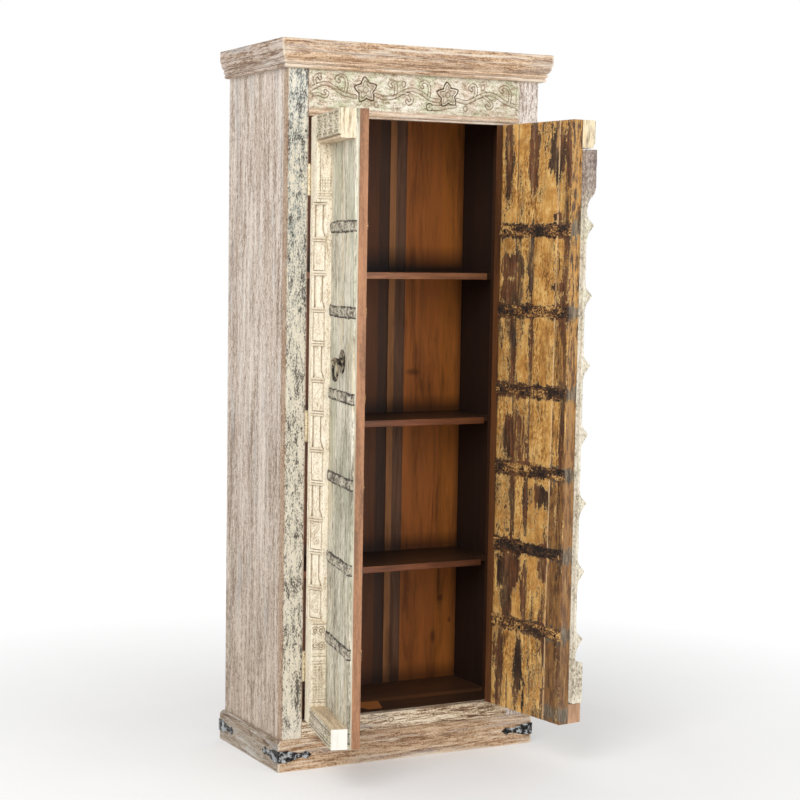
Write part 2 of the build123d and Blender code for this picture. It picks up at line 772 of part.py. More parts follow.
    # The ring hangs in its eye, so its bar lies low in the hole.
    ring_hang = (eye_hole_radius - ring_bar_radius) / 3
    ring_top = eye.origin - Vector(0, 0, ring_hang)
    with BuildPart() as pull_ring:
        with BuildSketch(Plane(origin=ring_top, x_dir=pull.z_dir, z_dir=pull.x_dir)) as bar:
            RegularPolygon(ring_bar_radius, side_count=ring_bar_sides)
        ring_centre = ring_top - Vector(0, 0, ring_radius)
        revolve(profiles=bar.sketch, axis=Axis(ring_centre, pull.z_dir))
    save(pull_ring, f"{side}_pull_ring")

    # ------------------------------------------------------------ hinges
    post = Plane(origin=leaf.origin)
    with BuildPart() as door_hinges:
        half_hinges(leaf, m, 1)
    save(door_hinges, f"{side}_door_hinges")

    with BuildPart() as frame_hinges:
        half_hinges(post, sx, 0)
    save(frame_hinges, f"{side}_frame_hinges")

    with BuildPart() as hinge_pins:
        for level in hinge_levels:
            low = level - hinge_height / 2
            high = level + hinge_height / 2
            rod(post, 0, 0, pin_radius, low + knuckle_gap / 2, high - knuckle_gap / 2)
            rod(post, 0, 0, pin_head_radius, high - knuckle_gap / 2, high + pin_head_height)
            rod(post, 0, 0, pin_head_radius, low - pin_head_height, low + knuckle_gap / 2)
    save(hinge_pins, f"{side}_hinge_pins")
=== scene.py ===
"""Looks of a tall two-door cabinet of reclaimed timber with old carved door leaves.

Lengths are metres. X runs across the front from the centre line, Y runs back from the face of the
cabinet and Z runs up from the floor. Both doors stand open at rest.
"""

import json
from math import cos, hypot, pi, radians, sin

import bpy
import numpy as np
from mathutils import Matrix, Vector


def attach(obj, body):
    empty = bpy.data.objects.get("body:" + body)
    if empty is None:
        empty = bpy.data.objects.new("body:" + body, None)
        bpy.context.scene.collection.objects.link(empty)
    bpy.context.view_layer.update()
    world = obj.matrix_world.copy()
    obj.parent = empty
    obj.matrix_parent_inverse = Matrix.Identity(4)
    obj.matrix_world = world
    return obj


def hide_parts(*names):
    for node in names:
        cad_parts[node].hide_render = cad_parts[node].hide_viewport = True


bl_info = {
    "name": "Reclaimed Door Cabinet",
    "version": (1, 0, 0),
    "blender": (4, 5, 0),
    "location": "View3D > Sidebar > Cabinet",
    "description": "Carves, plates and paints a cabinet made of old timber and old door leaves",
    "category": "Object",
}

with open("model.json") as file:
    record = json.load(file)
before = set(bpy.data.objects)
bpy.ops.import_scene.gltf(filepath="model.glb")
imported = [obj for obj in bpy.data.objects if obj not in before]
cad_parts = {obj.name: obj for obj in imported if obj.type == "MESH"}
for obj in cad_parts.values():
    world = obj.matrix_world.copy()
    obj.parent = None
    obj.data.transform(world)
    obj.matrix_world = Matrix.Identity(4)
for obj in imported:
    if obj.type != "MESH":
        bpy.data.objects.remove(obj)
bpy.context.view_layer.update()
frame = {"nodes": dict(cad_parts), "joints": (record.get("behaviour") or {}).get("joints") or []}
joints = {joint["name"]: joint for joint in frame["joints"]}

HAND = {"left": 1, "right": -1}  # the way a leaf runs along x of its own plane


# Places of the construction that only the paint and the small pieces need.
BACK_WIDTH = 0.724  # of the planks of the back
BACK_SEAMS = (-0.193, -0.008, 0.117, 0.170)  # where these planks meet
BACK_INSIDE = 0.358  # depth of their inner face
BACK_OUTSIDE = 0.3665  # depth at which their raw side begins
COMPARTMENT_FLOORS = (0.116, 0.505, 0.908, 1.311)
SHELF_FRONT = 0.1265  # depth at which the front edges of the shelves end
TOP_UNDERSIDE = 1.8825  # height at which the underside of the top board begins
SAWN = 0.0008  # how near to the end of a leaf its sawn side begins


def paint(red, green, blue):
    """A colour given in steps of 0 to 255, as the linear values that shaders use."""
    linear = []
    for step in (red, green, blue):
        share = step / 255
        linear.append(share / 12.92 if share <= 0.04045 else ((share + 0.055) / 1.055) ** 2.4)
    return tuple(linear)


# ================================================================ sizes and colours
def length(name, default, description):
    """A length property, in metres."""
    return bpy.props.FloatProperty(
        name=name, default=default, description=description, unit="LENGTH", precision=4
    )


def angle(name, default, description):
    """An angle property, in radians."""
    return bpy.props.FloatProperty(
        name=name, default=default, description=description, subtype="ANGLE"
    )


def swatch(name, default, description):
    """A colour property."""
    return bpy.props.FloatVectorProperty(
        name=name, default=default, description=description, subtype="COLOR", size=3, min=0, max=1
    )


class CabinetSizes(bpy.types.PropertyGroup):
    """Lengths that the dressing shares with the construction."""

    half_width: length("Half Width", 0.376, "From the centre line to the outside of the carcass")
    side_thickness: length("Side Thickness", 0.014, "Thickness of the side boards")
    stile_width: length("Stile Width", 0.060, "Width of the face frame's stiles")
    frieze_foot: length("Frieze Foot", 1.73, "Lower edge of the carved board over the doors")
    frieze_margin: length("Frieze Margin", 0.007, "Plain border of the carved board")
    frieze_sinking: length("Frieze Sinking", 0.004, "How far the carved field is sunk")
    cornice_foot: length("Cornice Foot", 1.828, "Lower edge of the cornice")
    door_foot: length("Door Foot", 0.132, "Lower end of the door leaves")
    door_head: length("Door Head", 1.706, "Upper end of the door leaves")
    hinge_reach: length("Hinge Reach", 0.0049, "From a closed leaf's face to the hinge axis")
    leaf_edge: length("Leaf Edge", 0.00075, "From the hinge axis to the leaf's hinge edge")
    leaf_width: length("Leaf Width", 0.30925, "Width of a door leaf")
    door_stile: length("Door Stile", 0.068, "Width of the carved stile of a leaf")
    frame_depth: length("Frame Depth", 0.040, "Depth of the carved stile and rails")
    plank: length("Plank", 0.010, "Thickness of the planks of a leaf")
    backing: length("Backing", 0.022, "Thickness of the boards behind the planks")
    lipping: length("Lipping", 0.022, "Width of the smooth strips at the edges of a leaf")
    splay_start: length("Splay Start", 0.028, "From the hinge edge to the splay of the stile")
    splay_depth: length("Splay Depth", 0.0285, "How deep the splay runs")
    unit_pitch: length("Unit Pitch", 0.180, "Height of one carved unit")
    unit_panel: length("Unit Panel", 0.086, "Height of the panel in a carved unit")
    unit_head: length("Unit Head", 1.489, "Top of the uppermost carved unit")
    unit_count: bpy.props.IntProperty(
        name="Unit Count", default=6, min=1, description="Carved units in a door stile"
    )
    top_rail: length("Top Rail", 0.062, "Height of a leaf's top rail")
    bottom_rail: length("Bottom Rail", 0.052, "Height of a leaf's bottom rail")
    astragal_start: length("Astragal Start", 0.294, "From the hinge axis to the cover strip")
    strap_height: length("Strap Height", 0.029, "Height of the iron straps")
    strap_thickness: length("Strap Thickness", 0.0025, "Thickness of the iron straps")
    strap_head: length("Strap Head", 1.425, "Middle of the uppermost strap")
    strap_pitch: length("Strap Pitch", 0.211, "Distance between straps")
    strap_count: bpy.props.IntProperty(
        name="Strap Count", default=6, min=1, description="Iron straps on each face of a leaf"
    )
    carcass_depth: length("Carcass Depth", 0.370, "From the face frame to the back")
    plinth_overhang: length("Plinth Overhang", 0.016, "From the carcass to the face of the plinth")
    iron_level: length("Iron Level", 0.041, "Middle height of the corner irons")
    iron_reach: length("Iron Reach", 0.098, "Length of one wing of a corner iron")
    ring_radius: length("Ring Radius", 0.023, "From the middle of a ring to its bar")
    ring_bar: length("Ring Bar", 0.004, "Radius of a ring's bar")


class CabinetColours(bpy.types.PropertyGroup):
    """Colours of the paints, woods and metals."""

    limed_pale: swatch("Limed Pale", paint(226, 214, 202), "Thick parts of the white wash")
    limed_mid: swatch("Limed Mid", paint(199, 184, 170), "White wash rubbed thin")
    limed_dark: swatch("Limed Dark", paint(142, 122, 104), "Wood between the white wash")
    tan_pale: swatch("Tan Pale", paint(232, 212, 190), "White wash on the mouldings")
    tan_mid: swatch("Tan Mid", paint(202, 172, 140), "Wood of the mouldings")
    tan_dark: swatch("Tan Dark", paint(138, 104, 76), "Grain of the mouldings")
    flake_white: swatch("Flaking White", paint(240, 232, 214), "Old paint of the face frame")
    flake_blue: swatch("Flaking Blue", paint(180, 185, 179), "Blue-grey layer under the old paint")
    cream: swatch("Cream", paint(240, 227, 200), "Paint of the carved timber")
    cream_worn: swatch("Worn Cream", paint(196, 172, 140), "Carved timber rubbed through")
    pale_green: swatch("Pale Green", paint(216, 226, 202), "Green paint left in the carving")
    plank_green: swatch("Plank Green", paint(194, 186, 164), "Grey-green paint of the planks")
    plank_dark: swatch("Plank Dark", paint(140, 130, 112), "Dark streaks of the planks")
    ochre: swatch("Ochre", paint(208, 153, 79), "Old paint on the backs of the leaves")
    ochre_dark: swatch("Dark Ochre", paint(168, 116, 56), "Stained parts of the old paint")
    old_wood: swatch("Old Wood", paint(84, 56, 36), "Bare wood on the backs of the leaves")
    old_wood_red: swatch("Red Old Wood", paint(122, 74, 44), "Reddish bare wood")
    lipping: swatch("Lipping", paint(164, 116, 82), "Smooth edge strips")
    # The right leaf's hinge lipping: the same smooth lipping wood darkened as painted shade.
    lipping_shaded: swatch("Shaded Lipping", paint(99, 60, 30), "Edge strip of the right leaf")
    shelf_edge: swatch("Shelf Edge", paint(150, 96, 60), "Front edges of the shelves")
    inside_dark: swatch("Inside Dark", paint(42, 21, 7), "Waxed wood inside")
    inside_orange: swatch("Inside Orange", paint(196, 115, 54), "Warm planks of the back")
    iron: swatch("Iron", paint(48, 46, 46), "Blackened iron")
    rust: swatch("Rust", paint(92, 62, 44), "Rust and dirt")
    brass: swatch("Brass", paint(208, 190, 150), "Hinges, with old paint on them")


def sizes():
    """The lengths, as they are set in this scene."""
    return bpy.context.scene.cabinet_sizes


def colours():
    """The colours, as they are set in this scene."""
    return bpy.context.scene.cabinet_colours


# ================================================================ places on the leaves
def leaf_plan(side):
    """Hinge axis, x direction and y direction of a leaf's own plane, with y from front to back."""
    joint = joints[f"{side}_door_hinge"]
    hand = HAND[side]
    turn = radians(joint["range_deg"][1])
    along = Vector((cos(turn), -hand * sin(turn), 0))
    inward = Vector((-along.y, along.x, 0))
    return Vector((joint["pos_m"][0], joint["pos_m"][1], 0)), along, inward


def leaf_turn(side):
    """The heading of a leaf's x direction, in radians."""
    return -HAND[side] * radians(joints[f"{side}_door_hinge"]["range_deg"][1])


def face_matrix(origin, across, outward):
    """Places a flat piece: its x runs across, its y up and its z outward."""
    up = Vector((0, 0, 1))
    matrix = Matrix((across, up, outward)).transposed().to_4x4()
    matrix.translation = origin
    return matrix


def front_of_cabinet(depth):
    """The plane across the cabinet at a depth behind its face; x is the cabinet's own."""
    return face_matrix(Vector((0, depth, 0)), Vector((1, 0, 0)), Vector((0, -1, 0)))


def front_of_leaf(side, depth):
    """The plane on the front of a leaf at this depth behind its hinge axis; x is hand times u."""
    axis, along, inward = leaf_plan(side)
    return face_matrix(axis + inward * depth, along, -inward)


def back_of_leaf(side, depth):
    """The plane on the back of a leaf; x is minus hand times u."""
    axis, along, inward = leaf_plan(side)
    return face_matrix(axis + inward * depth, -along, inward)


def inner_side_of_stile(side, u):
    """The plane on the side of a door stile that faces the planks; x is hand times the depth."""
    axis, along, inward = leaf_plan(side)
    hand = HAND[side]
    return face_matrix(axis + along * hand * u, inward * hand, along * hand)


def splay_of_stile(side):
    """The plane on the splay of a door stile, with x = 0 on the middle of the splay."""
    axis, along, inward = leaf_plan(side)
    size = sizes()
    hand = HAND[side]
    run = size.door_stile - size.splay_start
    slant = hypot(run, size.splay_depth)
    across = along * (run / slant) + inward * (hand * size.splay_depth / slant)
    outward = along * (hand * size.splay_depth / slant) - inward * (run / slant)
    middle = size.leaf_edge + size.splay_start + run / 2
    centre = axis + along * hand * middle + inward * (size.hinge_reach + size.splay_depth / 2)
    return face_matrix(centre, across, outward)


def outward(place, step):
    """A place moved out along its own z."""
    return place @ Matrix.Translation((0, 0, step))


def splay_width():
    """Width of the splay of a door stile."""
    size = sizes()
    return hypot(size.door_stile - size.splay_start, size.splay_depth)


def strap_levels():
    """Middle height of each strap, from the top down."""
    size = sizes()
    return [size.strap_head - n * size.strap_pitch for n in range(size.strap_count)]


# ================================================================ carving
def uneven(x, y, grain, seed=0, octaves=3):
    """Smooth noise from -1 to 1 with features about one grain wide."""
    total = np.zeros_like(x)
    reach = 0.0
    for octave in range(octaves):
        share = 0.5**octave
        u = x / grain * 2**octave + seed * 17.3
        v = y / grain * 2**octave - seed * 9.1
        column, row = np.floor(u), np.floor(v)
        fu, fv = u - column, v - row
        fu = fu * fu * (3 - 2 * fu)
        fv = fv * fv * (3 - 2 * fv)

        def corner(i, j):
            wave = np.sin((column + i) * 127.1 + (row + j) * 311.7 + seed * 74.7 + octave) * 43758.5453
            return wave - np.floor(wave)

        low = corner(0, 0) * (1 - fu) + corner(1, 0) * fu
        high = corner(0, 1) * (1 - fu) + corner(1, 1) * fu
        total += share * (2 * (low * (1 - fv) + high * fv) - 1)
        reach += share
    return total / reach


def on_curve(b, s, e, a, t):
    """One coordinate of a smooth line that comes from b, runs from s to e and goes on to a."""
    return 0.5 * (
        2 * s + (e - b) * t + (2 * b - 5 * s + 4 * e - a) * t**2 + (3 * s - b - 3 * e + a) * t**3
    )


def smooth_path(points, steps=8):
    """A smooth line through these points, as a list of short runs."""
    ends = [points[0], *points, points[-1]]
    line = []
    for before, start, end, after in zip(ends, ends[1:], ends[2:], ends[3:]):
        for step in range(steps):
            t = step / steps
            line.append(tuple(on_curve(*four, t) for four in zip(before, start, end, after)))
    line.append(points[-1])
    return line


def swell(distance, width):
    """1 at no distance, falling off smoothly over a width."""
    return np.exp(-((distance / width) ** 2))


def away_from(x, y, line):
    """Distance of each place from a line of short runs."""
    nearest = np.full_like(x, np.inf)
    for (ax, ay), (bx, by) in zip(line, line[1:]):
        dx, dy = bx - ax, by - ay
        share = ((x - ax) * dx + (y - ay) * dy) / max(dx * dx + dy * dy, 1e-12)
        share = np.clip(share, 0, 1)
        nearest = np.minimum(nearest, np.hypot(x - ax - share * dx, y - ay - share * dy))
    return nearest


def raised(distance, half_width, rise, groove=0.0026, cut=0.0014):
    """A rounded ridge with a cut line along each side of it."""
    crown = rise * np.sqrt(np.clip(1 - (distance / half_width) ** 2, 0, 1))
    line = cut * swell(distance - half_width - groove / 2, groove / 2)
    return crown - line


def spiral(cx, cy, radius, turns, start, hand=1):
    """A spiral that runs out from its middle."""
    steps = int(turns * 14)
    return [
        (
            cx + radius * n / steps * cos(start + hand * 2 * pi * turns * n / steps),
            cy + radius * n / steps * sin(start + hand * 2 * pi * turns * n / steps),
        )
        for n in range(1, steps + 1)
    ]


def deselect():
    """Leaves edit mode and selects nothing."""
    if bpy.context.object and bpy.context.object.mode != "OBJECT":
        bpy.ops.object.mode_set(mode="OBJECT")
    bpy.ops.object.select_all(action="DESELECT")


def take_up(piece):
    """Makes one object the only one that operators act on."""
    deselect()
    piece.select_set(True)
    bpy.context.view_layer.objects.active = piece


def points_of(piece):
    """A piece's points, as rows of x, y and z."""
    places = np.empty(len(piece.data.vertices) * 3)
    piece.data.vertices.foreach_get("co", places)
    return places.reshape(-1, 3)


def move_points(piece, places):
    """Gives a piece's points new places."""
    piece.data.vertices.foreach_set("co", places.ravel())
    piece.data.update()


def mark(piece, name, values):
    """Keeps a value for each point of a piece, for its paint."""
    piece.data.attributes.new(name, "FLOAT", "POINT").data.foreach_set("value", values.astype(np.float32))


def board(name, x0, x1, y0, y1, depth, cell, relief=None, arris=0.0008, wander=0.0, wear=None):
    """A board on its own plane, with its face at z = 0 as a fine grid that relief moves out and in.

    The relief of each point is kept in the attribute carved, in millimetres, for the paint, and how
    far the paint is worn, on the front straps with painted shadow added, in the attribute worn.
    """
    x0, x1 = min(x0, x1), max(x0, x1)
    width, height = x1 - x0, y1 - y0
    deselect()
    bpy.ops.mesh.primitive_grid_add(
        x_subdivisions=max(2, round(width / cell)), y_subdivisions=max(2, round(height / cell)), size=1
    )
    piece = bpy.context.object
    piece.name = name
    piece.data.name = name
    places = points_of(piece) * (width, height, 1) + ((x0 + x1) / 2, (y0 + y1) / 2, 0)
    move_points(piece, places)
    bpy.ops.object.mode_set(mode="EDIT")
    bpy.ops.mesh.select_all(action="SELECT")
    bpy.ops.mesh.extrude_region_move(TRANSFORM_OT_translate={"value": (0, 0, -depth)})
    bpy.ops.mesh.select_all(action="SELECT")
    bpy.ops.mesh.normals_make_consistent(inside=False)
    bpy.ops.object.mode_set(mode="OBJECT")
    places = points_of(piece)
    x, y, z = places.T.copy()
    face = z > -depth / 2
    lift = relief(x, y) if relief else np.zeros_like(x)
    border = np.minimum(np.minimum(x - x0, x1 - x), np.minimum(y - y0, y1 - y))
    rounding = np.clip(arris - border, 0, None)
    z[face] += (lift - rounding)[face]
    mark(piece, "carved", np.where(face, lift * 1000, 0))
    if wear:
        mark(piece, "worn", wear(x, y))
    if wander:
        x += wander * uneven(x, y, 0.03, seed=3)
        y += wander * (uneven(x, y, 0.03, seed=8) + uneven(x, y, 0.009, seed=5))
    move_points(piece, np.stack((x, y, z), axis=1))
    return piece


def settle(piece, place, body, material, smooth=35):
    """Puts a finished piece in its place in the cabinet and gives it its paint and its body."""
    piece.data.transform(place)
    if place.determinant() < 0:
        piece.data.flip_normals()
    piece.data.materials.clear()
    piece.data.materials.append(material)
    take_up(piece)
    bpy.ops.object.shade_smooth_by_angle(angle=radians(smooth))
    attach(piece, body)
    return piece


def joined(name, pieces):
    """Several pieces made into one."""
    deselect()
    for piece in pieces:
        piece.select_set(True)
    bpy.context.view_layer.objects.active = pieces[0]
    if len(pieces) > 1:
        bpy.ops.object.join()
    whole = bpy.context.object
    whole.name = name
    whole.data.name = name
    return whole


# ================================================================ paints and woods
class Finish:
    """One material, built up node by node from Object coordinates."""

    def __init__(self, name, roughness=0.7, metallic=0.0, side=None):
        self.side = side
        self.material = bpy.data.materials.new(name)
        self.material.use_nodes = True
        self.tree = self.material.node_tree
        self.shader = self.tree.nodes["Principled BSDF"]
        self.shader.inputs["Roughness"].default_value = roughness
        self.shader.inputs["Metallic"].default_value = metallic

    def add(self, kind, **settings):
        """A new node with these settings."""
        node = self.tree.nodes.new("ShaderNode" + kind)
        for key, value in settings.items():
            setattr(node, key, value)
        return node

    def feed(self, socket, value):
        """Links a socket into another, or sets a plain value."""
        if isinstance(value, bpy.types.NodeSocket):
            self.tree.links.new(value, socket)
        elif hasattr(value, "__len__") and len(value) == 3 and len(socket.default_value) == 4:
            socket.default_value = (*value, 1)
        else:
            socket.default_value = value

    def place(self, origin=(0, 0, 0), stretch=(1, 1, 1), turn=0.0):
        """Object coordinates seen from an origin, turned about the upright and drawn out by stretch."""
        source = self.add("TexCoord")
        mapping = self.add("Mapping", vector_type="TEXTURE")
        mapping.inputs["Location"].default_value = origin
        mapping.inputs["Rotation"].default_value = (0, 0, turn)
        mapping.inputs["Scale"].default_value = stretch
        self.tree.links.new(source.outputs["Object"], mapping.inputs["Vector"])
        return mapping.outputs["Vector"]

    def part(self, vector, axis):
        """One of the three coordinates."""
        split = self.add("SeparateXYZ")
        self.feed(split.inputs[0], vector)
        return split.outputs[axis]

    def at(self, axis):
        """The X, Y or Z of each place."""
        return self.part(self.place(), "XYZ".index(axis))

    def leaf(self, stretch=(1, 1, 1)):
        """Places on the plane of the leaf that this finish is for."""
        return self.place(leaf_plan(self.side)[0], stretch, leaf_turn(self.side))

    def leaf_reach(self, axis):
        """How far a place is from the hinge axis, along the leaf (0) or into it (1)."""
        return self.unsigned(self.part(self.leaf(), axis))

    def distance(self, origin=(0, 0, 0), stretch=(1, 1, 1)):
        """How far a place is from an origin, counted in stretches."""
        node = self.add("VectorMath", operation="LENGTH")
        self.feed(node.inputs[0], self.place(origin, stretch))
        return node.outputs["Value"]

    def noise(self, vector, scale, detail=4, rough=0.6, warp=0.0):
        """Smooth noise from 0 to 1."""
        node = self.add("TexNoise")
        self.feed(node.inputs["Vector"], vector)
        node.inputs["Scale"].default_value = scale
        node.inputs["Detail"].default_value = detail
        node.inputs["Roughness"].default_value = rough
        node.inputs["Distortion"].default_value = warp
        return node.outputs["Fac"]

    def grain(self, origin, stretch, *shape):
        """Noise from an origin, or a step along x, drawn out by a stretch, or upward by a number."""
        origin = origin if hasattr(origin, "__len__") else (origin, 0, 0)
        return self.noise(self.place(origin, drawn_up(stretch)), *shape)

    def leaf_grain(self, stretch, *shape):
        """Noise on the plane of the leaf."""
        return self.noise(self.leaf(drawn_up(stretch)), *shape)

    def crevice(self, reach, low, high):
        """Runs from 0 to 1 in corners and cuts that are narrower than the reach; the finishes darken by it
        as painted shade.
        """
        node = self.add("AmbientOcclusion", samples=6, only_local=True)
        node.inputs["Distance"].default_value = reach
        return self.between(node.outputs["AO"], 1 - low, 1 - high)

    def arris(self, reach, low, high):
        """Runs from 0 to 1 at the outer edges of a solid, where the mouldings get a painted highlight."""
        node = self.add("AmbientOcclusion", samples=6, only_local=True, inside=True)
        node.inputs["Distance"].default_value = reach
        return self.between(node.outputs["AO"], 1 - low, 1 - high)

    def attribute(self, name):
        """A value that the points of a piece carry."""
        return self.add("Attribute", attribute_name=name).outputs["Fac"]

    def maths(self, operation, a, b=0.0, c=None):
        """One sum of sockets or plain values."""
        node = self.add("Math", operation=operation)
        self.feed(node.inputs[0], a)
        self.feed(node.inputs[1], b)
        if c is not None:
            self.feed(node.inputs[2], c)
        return node.outputs[0]

    def plus(self, a, b):
        return self.maths("ADD", a, b)

    def minus(self, a, b):
        return self.maths("SUBTRACT", a, b)

    def less(self, a, b):
        return self.maths("LESS_THAN", a, b)

    def more(self, a, b):
        return self.maths("GREATER_THAN", a, b)

    def unsigned(self, a):
        return self.maths("ABSOLUTE", a)

    def apart(self, a, b):
        """How far two values are from each other."""
        return self.unsigned(self.minus(a, b))

    def times(self, a, b, then=None):
        """A times b, and then added to something."""
        return self.maths("MULTIPLY" if then is None else "MULTIPLY_ADD", a, b, then)

    def spread(self, *parts):
        """Sums several noises, each with its weight, about a middle of one half."""
        total = 0.5
        for value, weight in parts:
            total = self.times(self.minus(value, 0.5), weight, total)
        return total

    def ramp(self, value, *stops, hard=False):
        """Colours or greys between the places given, each as (place, colour)."""
        node = self.add("ValToRGB")
        band = node.color_ramp
        band.interpolation = "CONSTANT" if hard else "LINEAR"
        while len(band.elements) < len(stops):
            band.elements.new(0.5)
        for element, (spot, tint) in zip(band.elements, stops):
            element.position = spot
            element.color = (*tint, 1) if hasattr(tint, "__len__") else (tint, tint, tint, 1)
        self.feed(node.inputs[0], value)
        return node.outputs["Color"]

    def between(self, value, low, high):
        """Runs from 0 to 1 as the value goes from low to high."""
        node = self.add("MapRange", clamp=True)
        self.feed(node.inputs["Value"], value)
        node.inputs["From Min"].default_value = low
        node.inputs["From Max"].default_value = high
        return node.outputs["Result"]

    def mix(self, share, under, over, blend="MIX"):
        """A colour laid over another by a share from 0 to 1."""
        node = self.add("Mix", data_type="RGBA", blend_type=blend)
        self.feed(node.inputs[0], share)
        self.feed(node.inputs[6], under)
        self.feed(node.inputs[7], over)
        return node.outputs[2]

    def lay(self, under, over, share, where, low=None, high=None, blend="MIX"):
        """A colour laid over another by up to a share, as where goes from low to high or from 0 to 1."""
        if low is not None:
            where = self.between(where, low, high)
        return self.mix(self.times(where, share), under, over, blend)

    def done(self, colour, height=None, depth=0.001, strength=0.6, gloss=None):
        """Sets the colour and, from a height, the small relief of the surface."""
        self.feed(self.shader.inputs["Base Color"], colour)
        if gloss is not None:
            self.feed(self.shader.inputs["Roughness"], gloss)
        if height is not None:
            bump = self.add("Bump")
            bump.inputs["Strength"].default_value = strength
            bump.inputs["Distance"].default_value = depth
            self.feed(bump.inputs["Height"], height)
            self.tree.links.new(bump.outputs[0], self.shader.inputs["Normal"])
        return self.material


UPRIGHT = (1, 1, 14)  # stretch of a grain that runs up
LONG = (17, 1, 1)  # along x, long and thin
ACROSS = (14, 1, 1)  # along x
DEEP = (1, 14, 1)  # along y


def drawn_up(stretch):
    """A stretch as it is, or from a number that says how far it is drawn out upward."""
    return stretch if hasattr(stretch, "__len__") else (1, 1, stretch)


def toned(tint, share):
    """A colour made darker, or lighter up to white."""
    return [min(1, c * share) for c in tint]


def times_each(tint, shift):
    """A colour with each of its parts multiplied."""
    return [c * s for c, s in zip(tint, shift)]


def partly(stretch, share):
    """A stretch that is drawn out by only a share of this one."""
    return [1 + (step - 1) * share for step in stretch]


def limed_wood(name, stretch, pale, mid, dark, seed=0.0, contrast=1.0, drawn=0.22):
    """Timber rubbed with white wash: pale in the grain, with darker streaks, fine specks and painted shade
    in its corners and cuts.
    """
    made = Finish(name, roughness=0.8)
    origin = (seed, seed * 0.7, seed * 0.3)
    long = made.place(origin, stretch)
    streak = made.noise(long, 75, 5, 0.62)
    broad = made.noise(long, 17, 3, 0.5)
    fibre = made.grain(origin, partly(stretch, drawn), 210, 5, 0.72, 0.6)
    speck = made.grain(origin, partly(stretch, 0.05), 330, 3, 0.7)
    tone = made.spread((streak, 0.9 * contrast), (fibre, 1.45 * contrast), (broad, 0.4), (speck, 0.9))
    base = made.ramp(tone, (0.16, toned(dark, 0.72)), (0.34, dark), (0.5, mid), (0.74, pale))
    cool = made.grain((seed + 3, 1, 2), partly(stretch, 0.6), 30, 3, 0.6)
    base = made.lay(base, paint(184, 186, 186), 0.4, cool, 0.55, 0.68)
    warm = made.grain((seed + 6, 1, 2), partly(stretch, 0.6), 36, 3, 0.6)
    base = made.lay(base, paint(178, 148, 128), 0.25, warm, 0.56, 0.68)
    # Painted shade: corners and cuts darkened by the crevice mask.
    base = made.lay(base, toned(dark, 0.5), 0.6, made.crevice(0.012, 0.3, 0.75))
    return made, base, made.spread((fibre, 1.0), (streak, 0.8), (speck, 0.4))


def side_board_finish():
    """Limed outside, dark and waxed inside."""
    tint = colours()
    size = sizes()
    made, outside, height = limed_wood(
        "Limed_Side_Boards", UPRIGHT, tint.limed_pale, tint.limed_mid, tint.limed_dark
    )
    across = made.unsigned(made.at("X"))
    inside = made.less(across, size.half_width - size.side_thickness + 0.001)
    dark = inside_tone(made, times_each(tint.inside_dark, (1.0, 0.84, 0.6)))
    soft = made.grain(4, 9, 36, 4, 0.6, 0.5)
    outside = made.lay(outside, paint(150, 132, 118), 0.34, soft, 0.5, 0.64)
    outside = made.lay(outside, tint.limed_pale, 0.3, soft, 0.49, 0.36)
    # The outside is made a little darker towards the bottom.
    darker_part = made.ramp(
        made.at("Z"), (0.1, paint(242, 238, 232)), (0.9, paint(250, 250, 250)), (1.0, (1, 1, 1)),
    )
    outside = made.mix(1.0, outside, darker_part, "MULTIPLY")
    return made.done(made.mix(inside, outside, dark), height, 0.0012, 0.5)


def inside_tone(made, tint):
    """Waxed wood with soft upright grain."""
    drawn = made.place((0.2, 0, 0), (1, 1, 11))
    soft = made.noise(drawn, 18, 4, 0.55, 0.4)
    fine = made.noise(drawn, 120, 4, 0.6)
    tone = made.spread((soft, 1.0), (fine, 0.5))
    darker = toned(tint, 0.45)
    return made.ramp(tone, (0.25, darker), (0.5, tint), (0.8, toned(tint, 1.35)))


def moulding_finish(name, stretch, seed, shift=(1, 1, 1), whitened=None, contrast=0.8):
    """The warm tan timber of the cornice and plinth, with white wash left along the grain and a painted
    highlight along the outer edges.

    Shift multiplies its colours; above the height whitened the wash is thick.
    """
    tint = colours()
    pale, mid, dark = (times_each(shade, shift) for shade in (tint.tan_pale, tint.tan_mid, tint.tan_dark))
    made, base, height = limed_wood(name, stretch, pale, mid, dark, seed, contrast, 0.55)
    run = made.grain((seed, 2, 1), stretch, 80, 7, 0.76)
    if whitened:
        level = made.at("Z")
        fascia = made.between(level, whitened - 0.006, whitened + 0.006)
        foot = made.between(level, whitened - 0.029, whitened - 0.033)
        thicker = made.times(made.plus(fascia, foot), 0.06)
        run = made.plus(run, thicker)
    thick = made.times(made.between(run, 0.52, 0.63), 0.8)
    base = made.mix(thick, base, [c * s**0.5 for c, s in zip(paint(232, 220, 204), shift)])
    # Painted highlight: the outer edges are lightened where the wash runs.
    sharp = made.times(made.arris(0.004, 0.12, 0.42), made.between(run, 0.40, 0.50))
    base = made.lay(base, paint(238, 230, 216), 0.4, sharp)
    line = made.grain((seed, 4, 1), stretch, 130, 5, 0.7)
    base = made.lay(base, dark, 0.6, line, 0.60, 0.68)
    return made.done(base, height, 0.0016, 0.7)


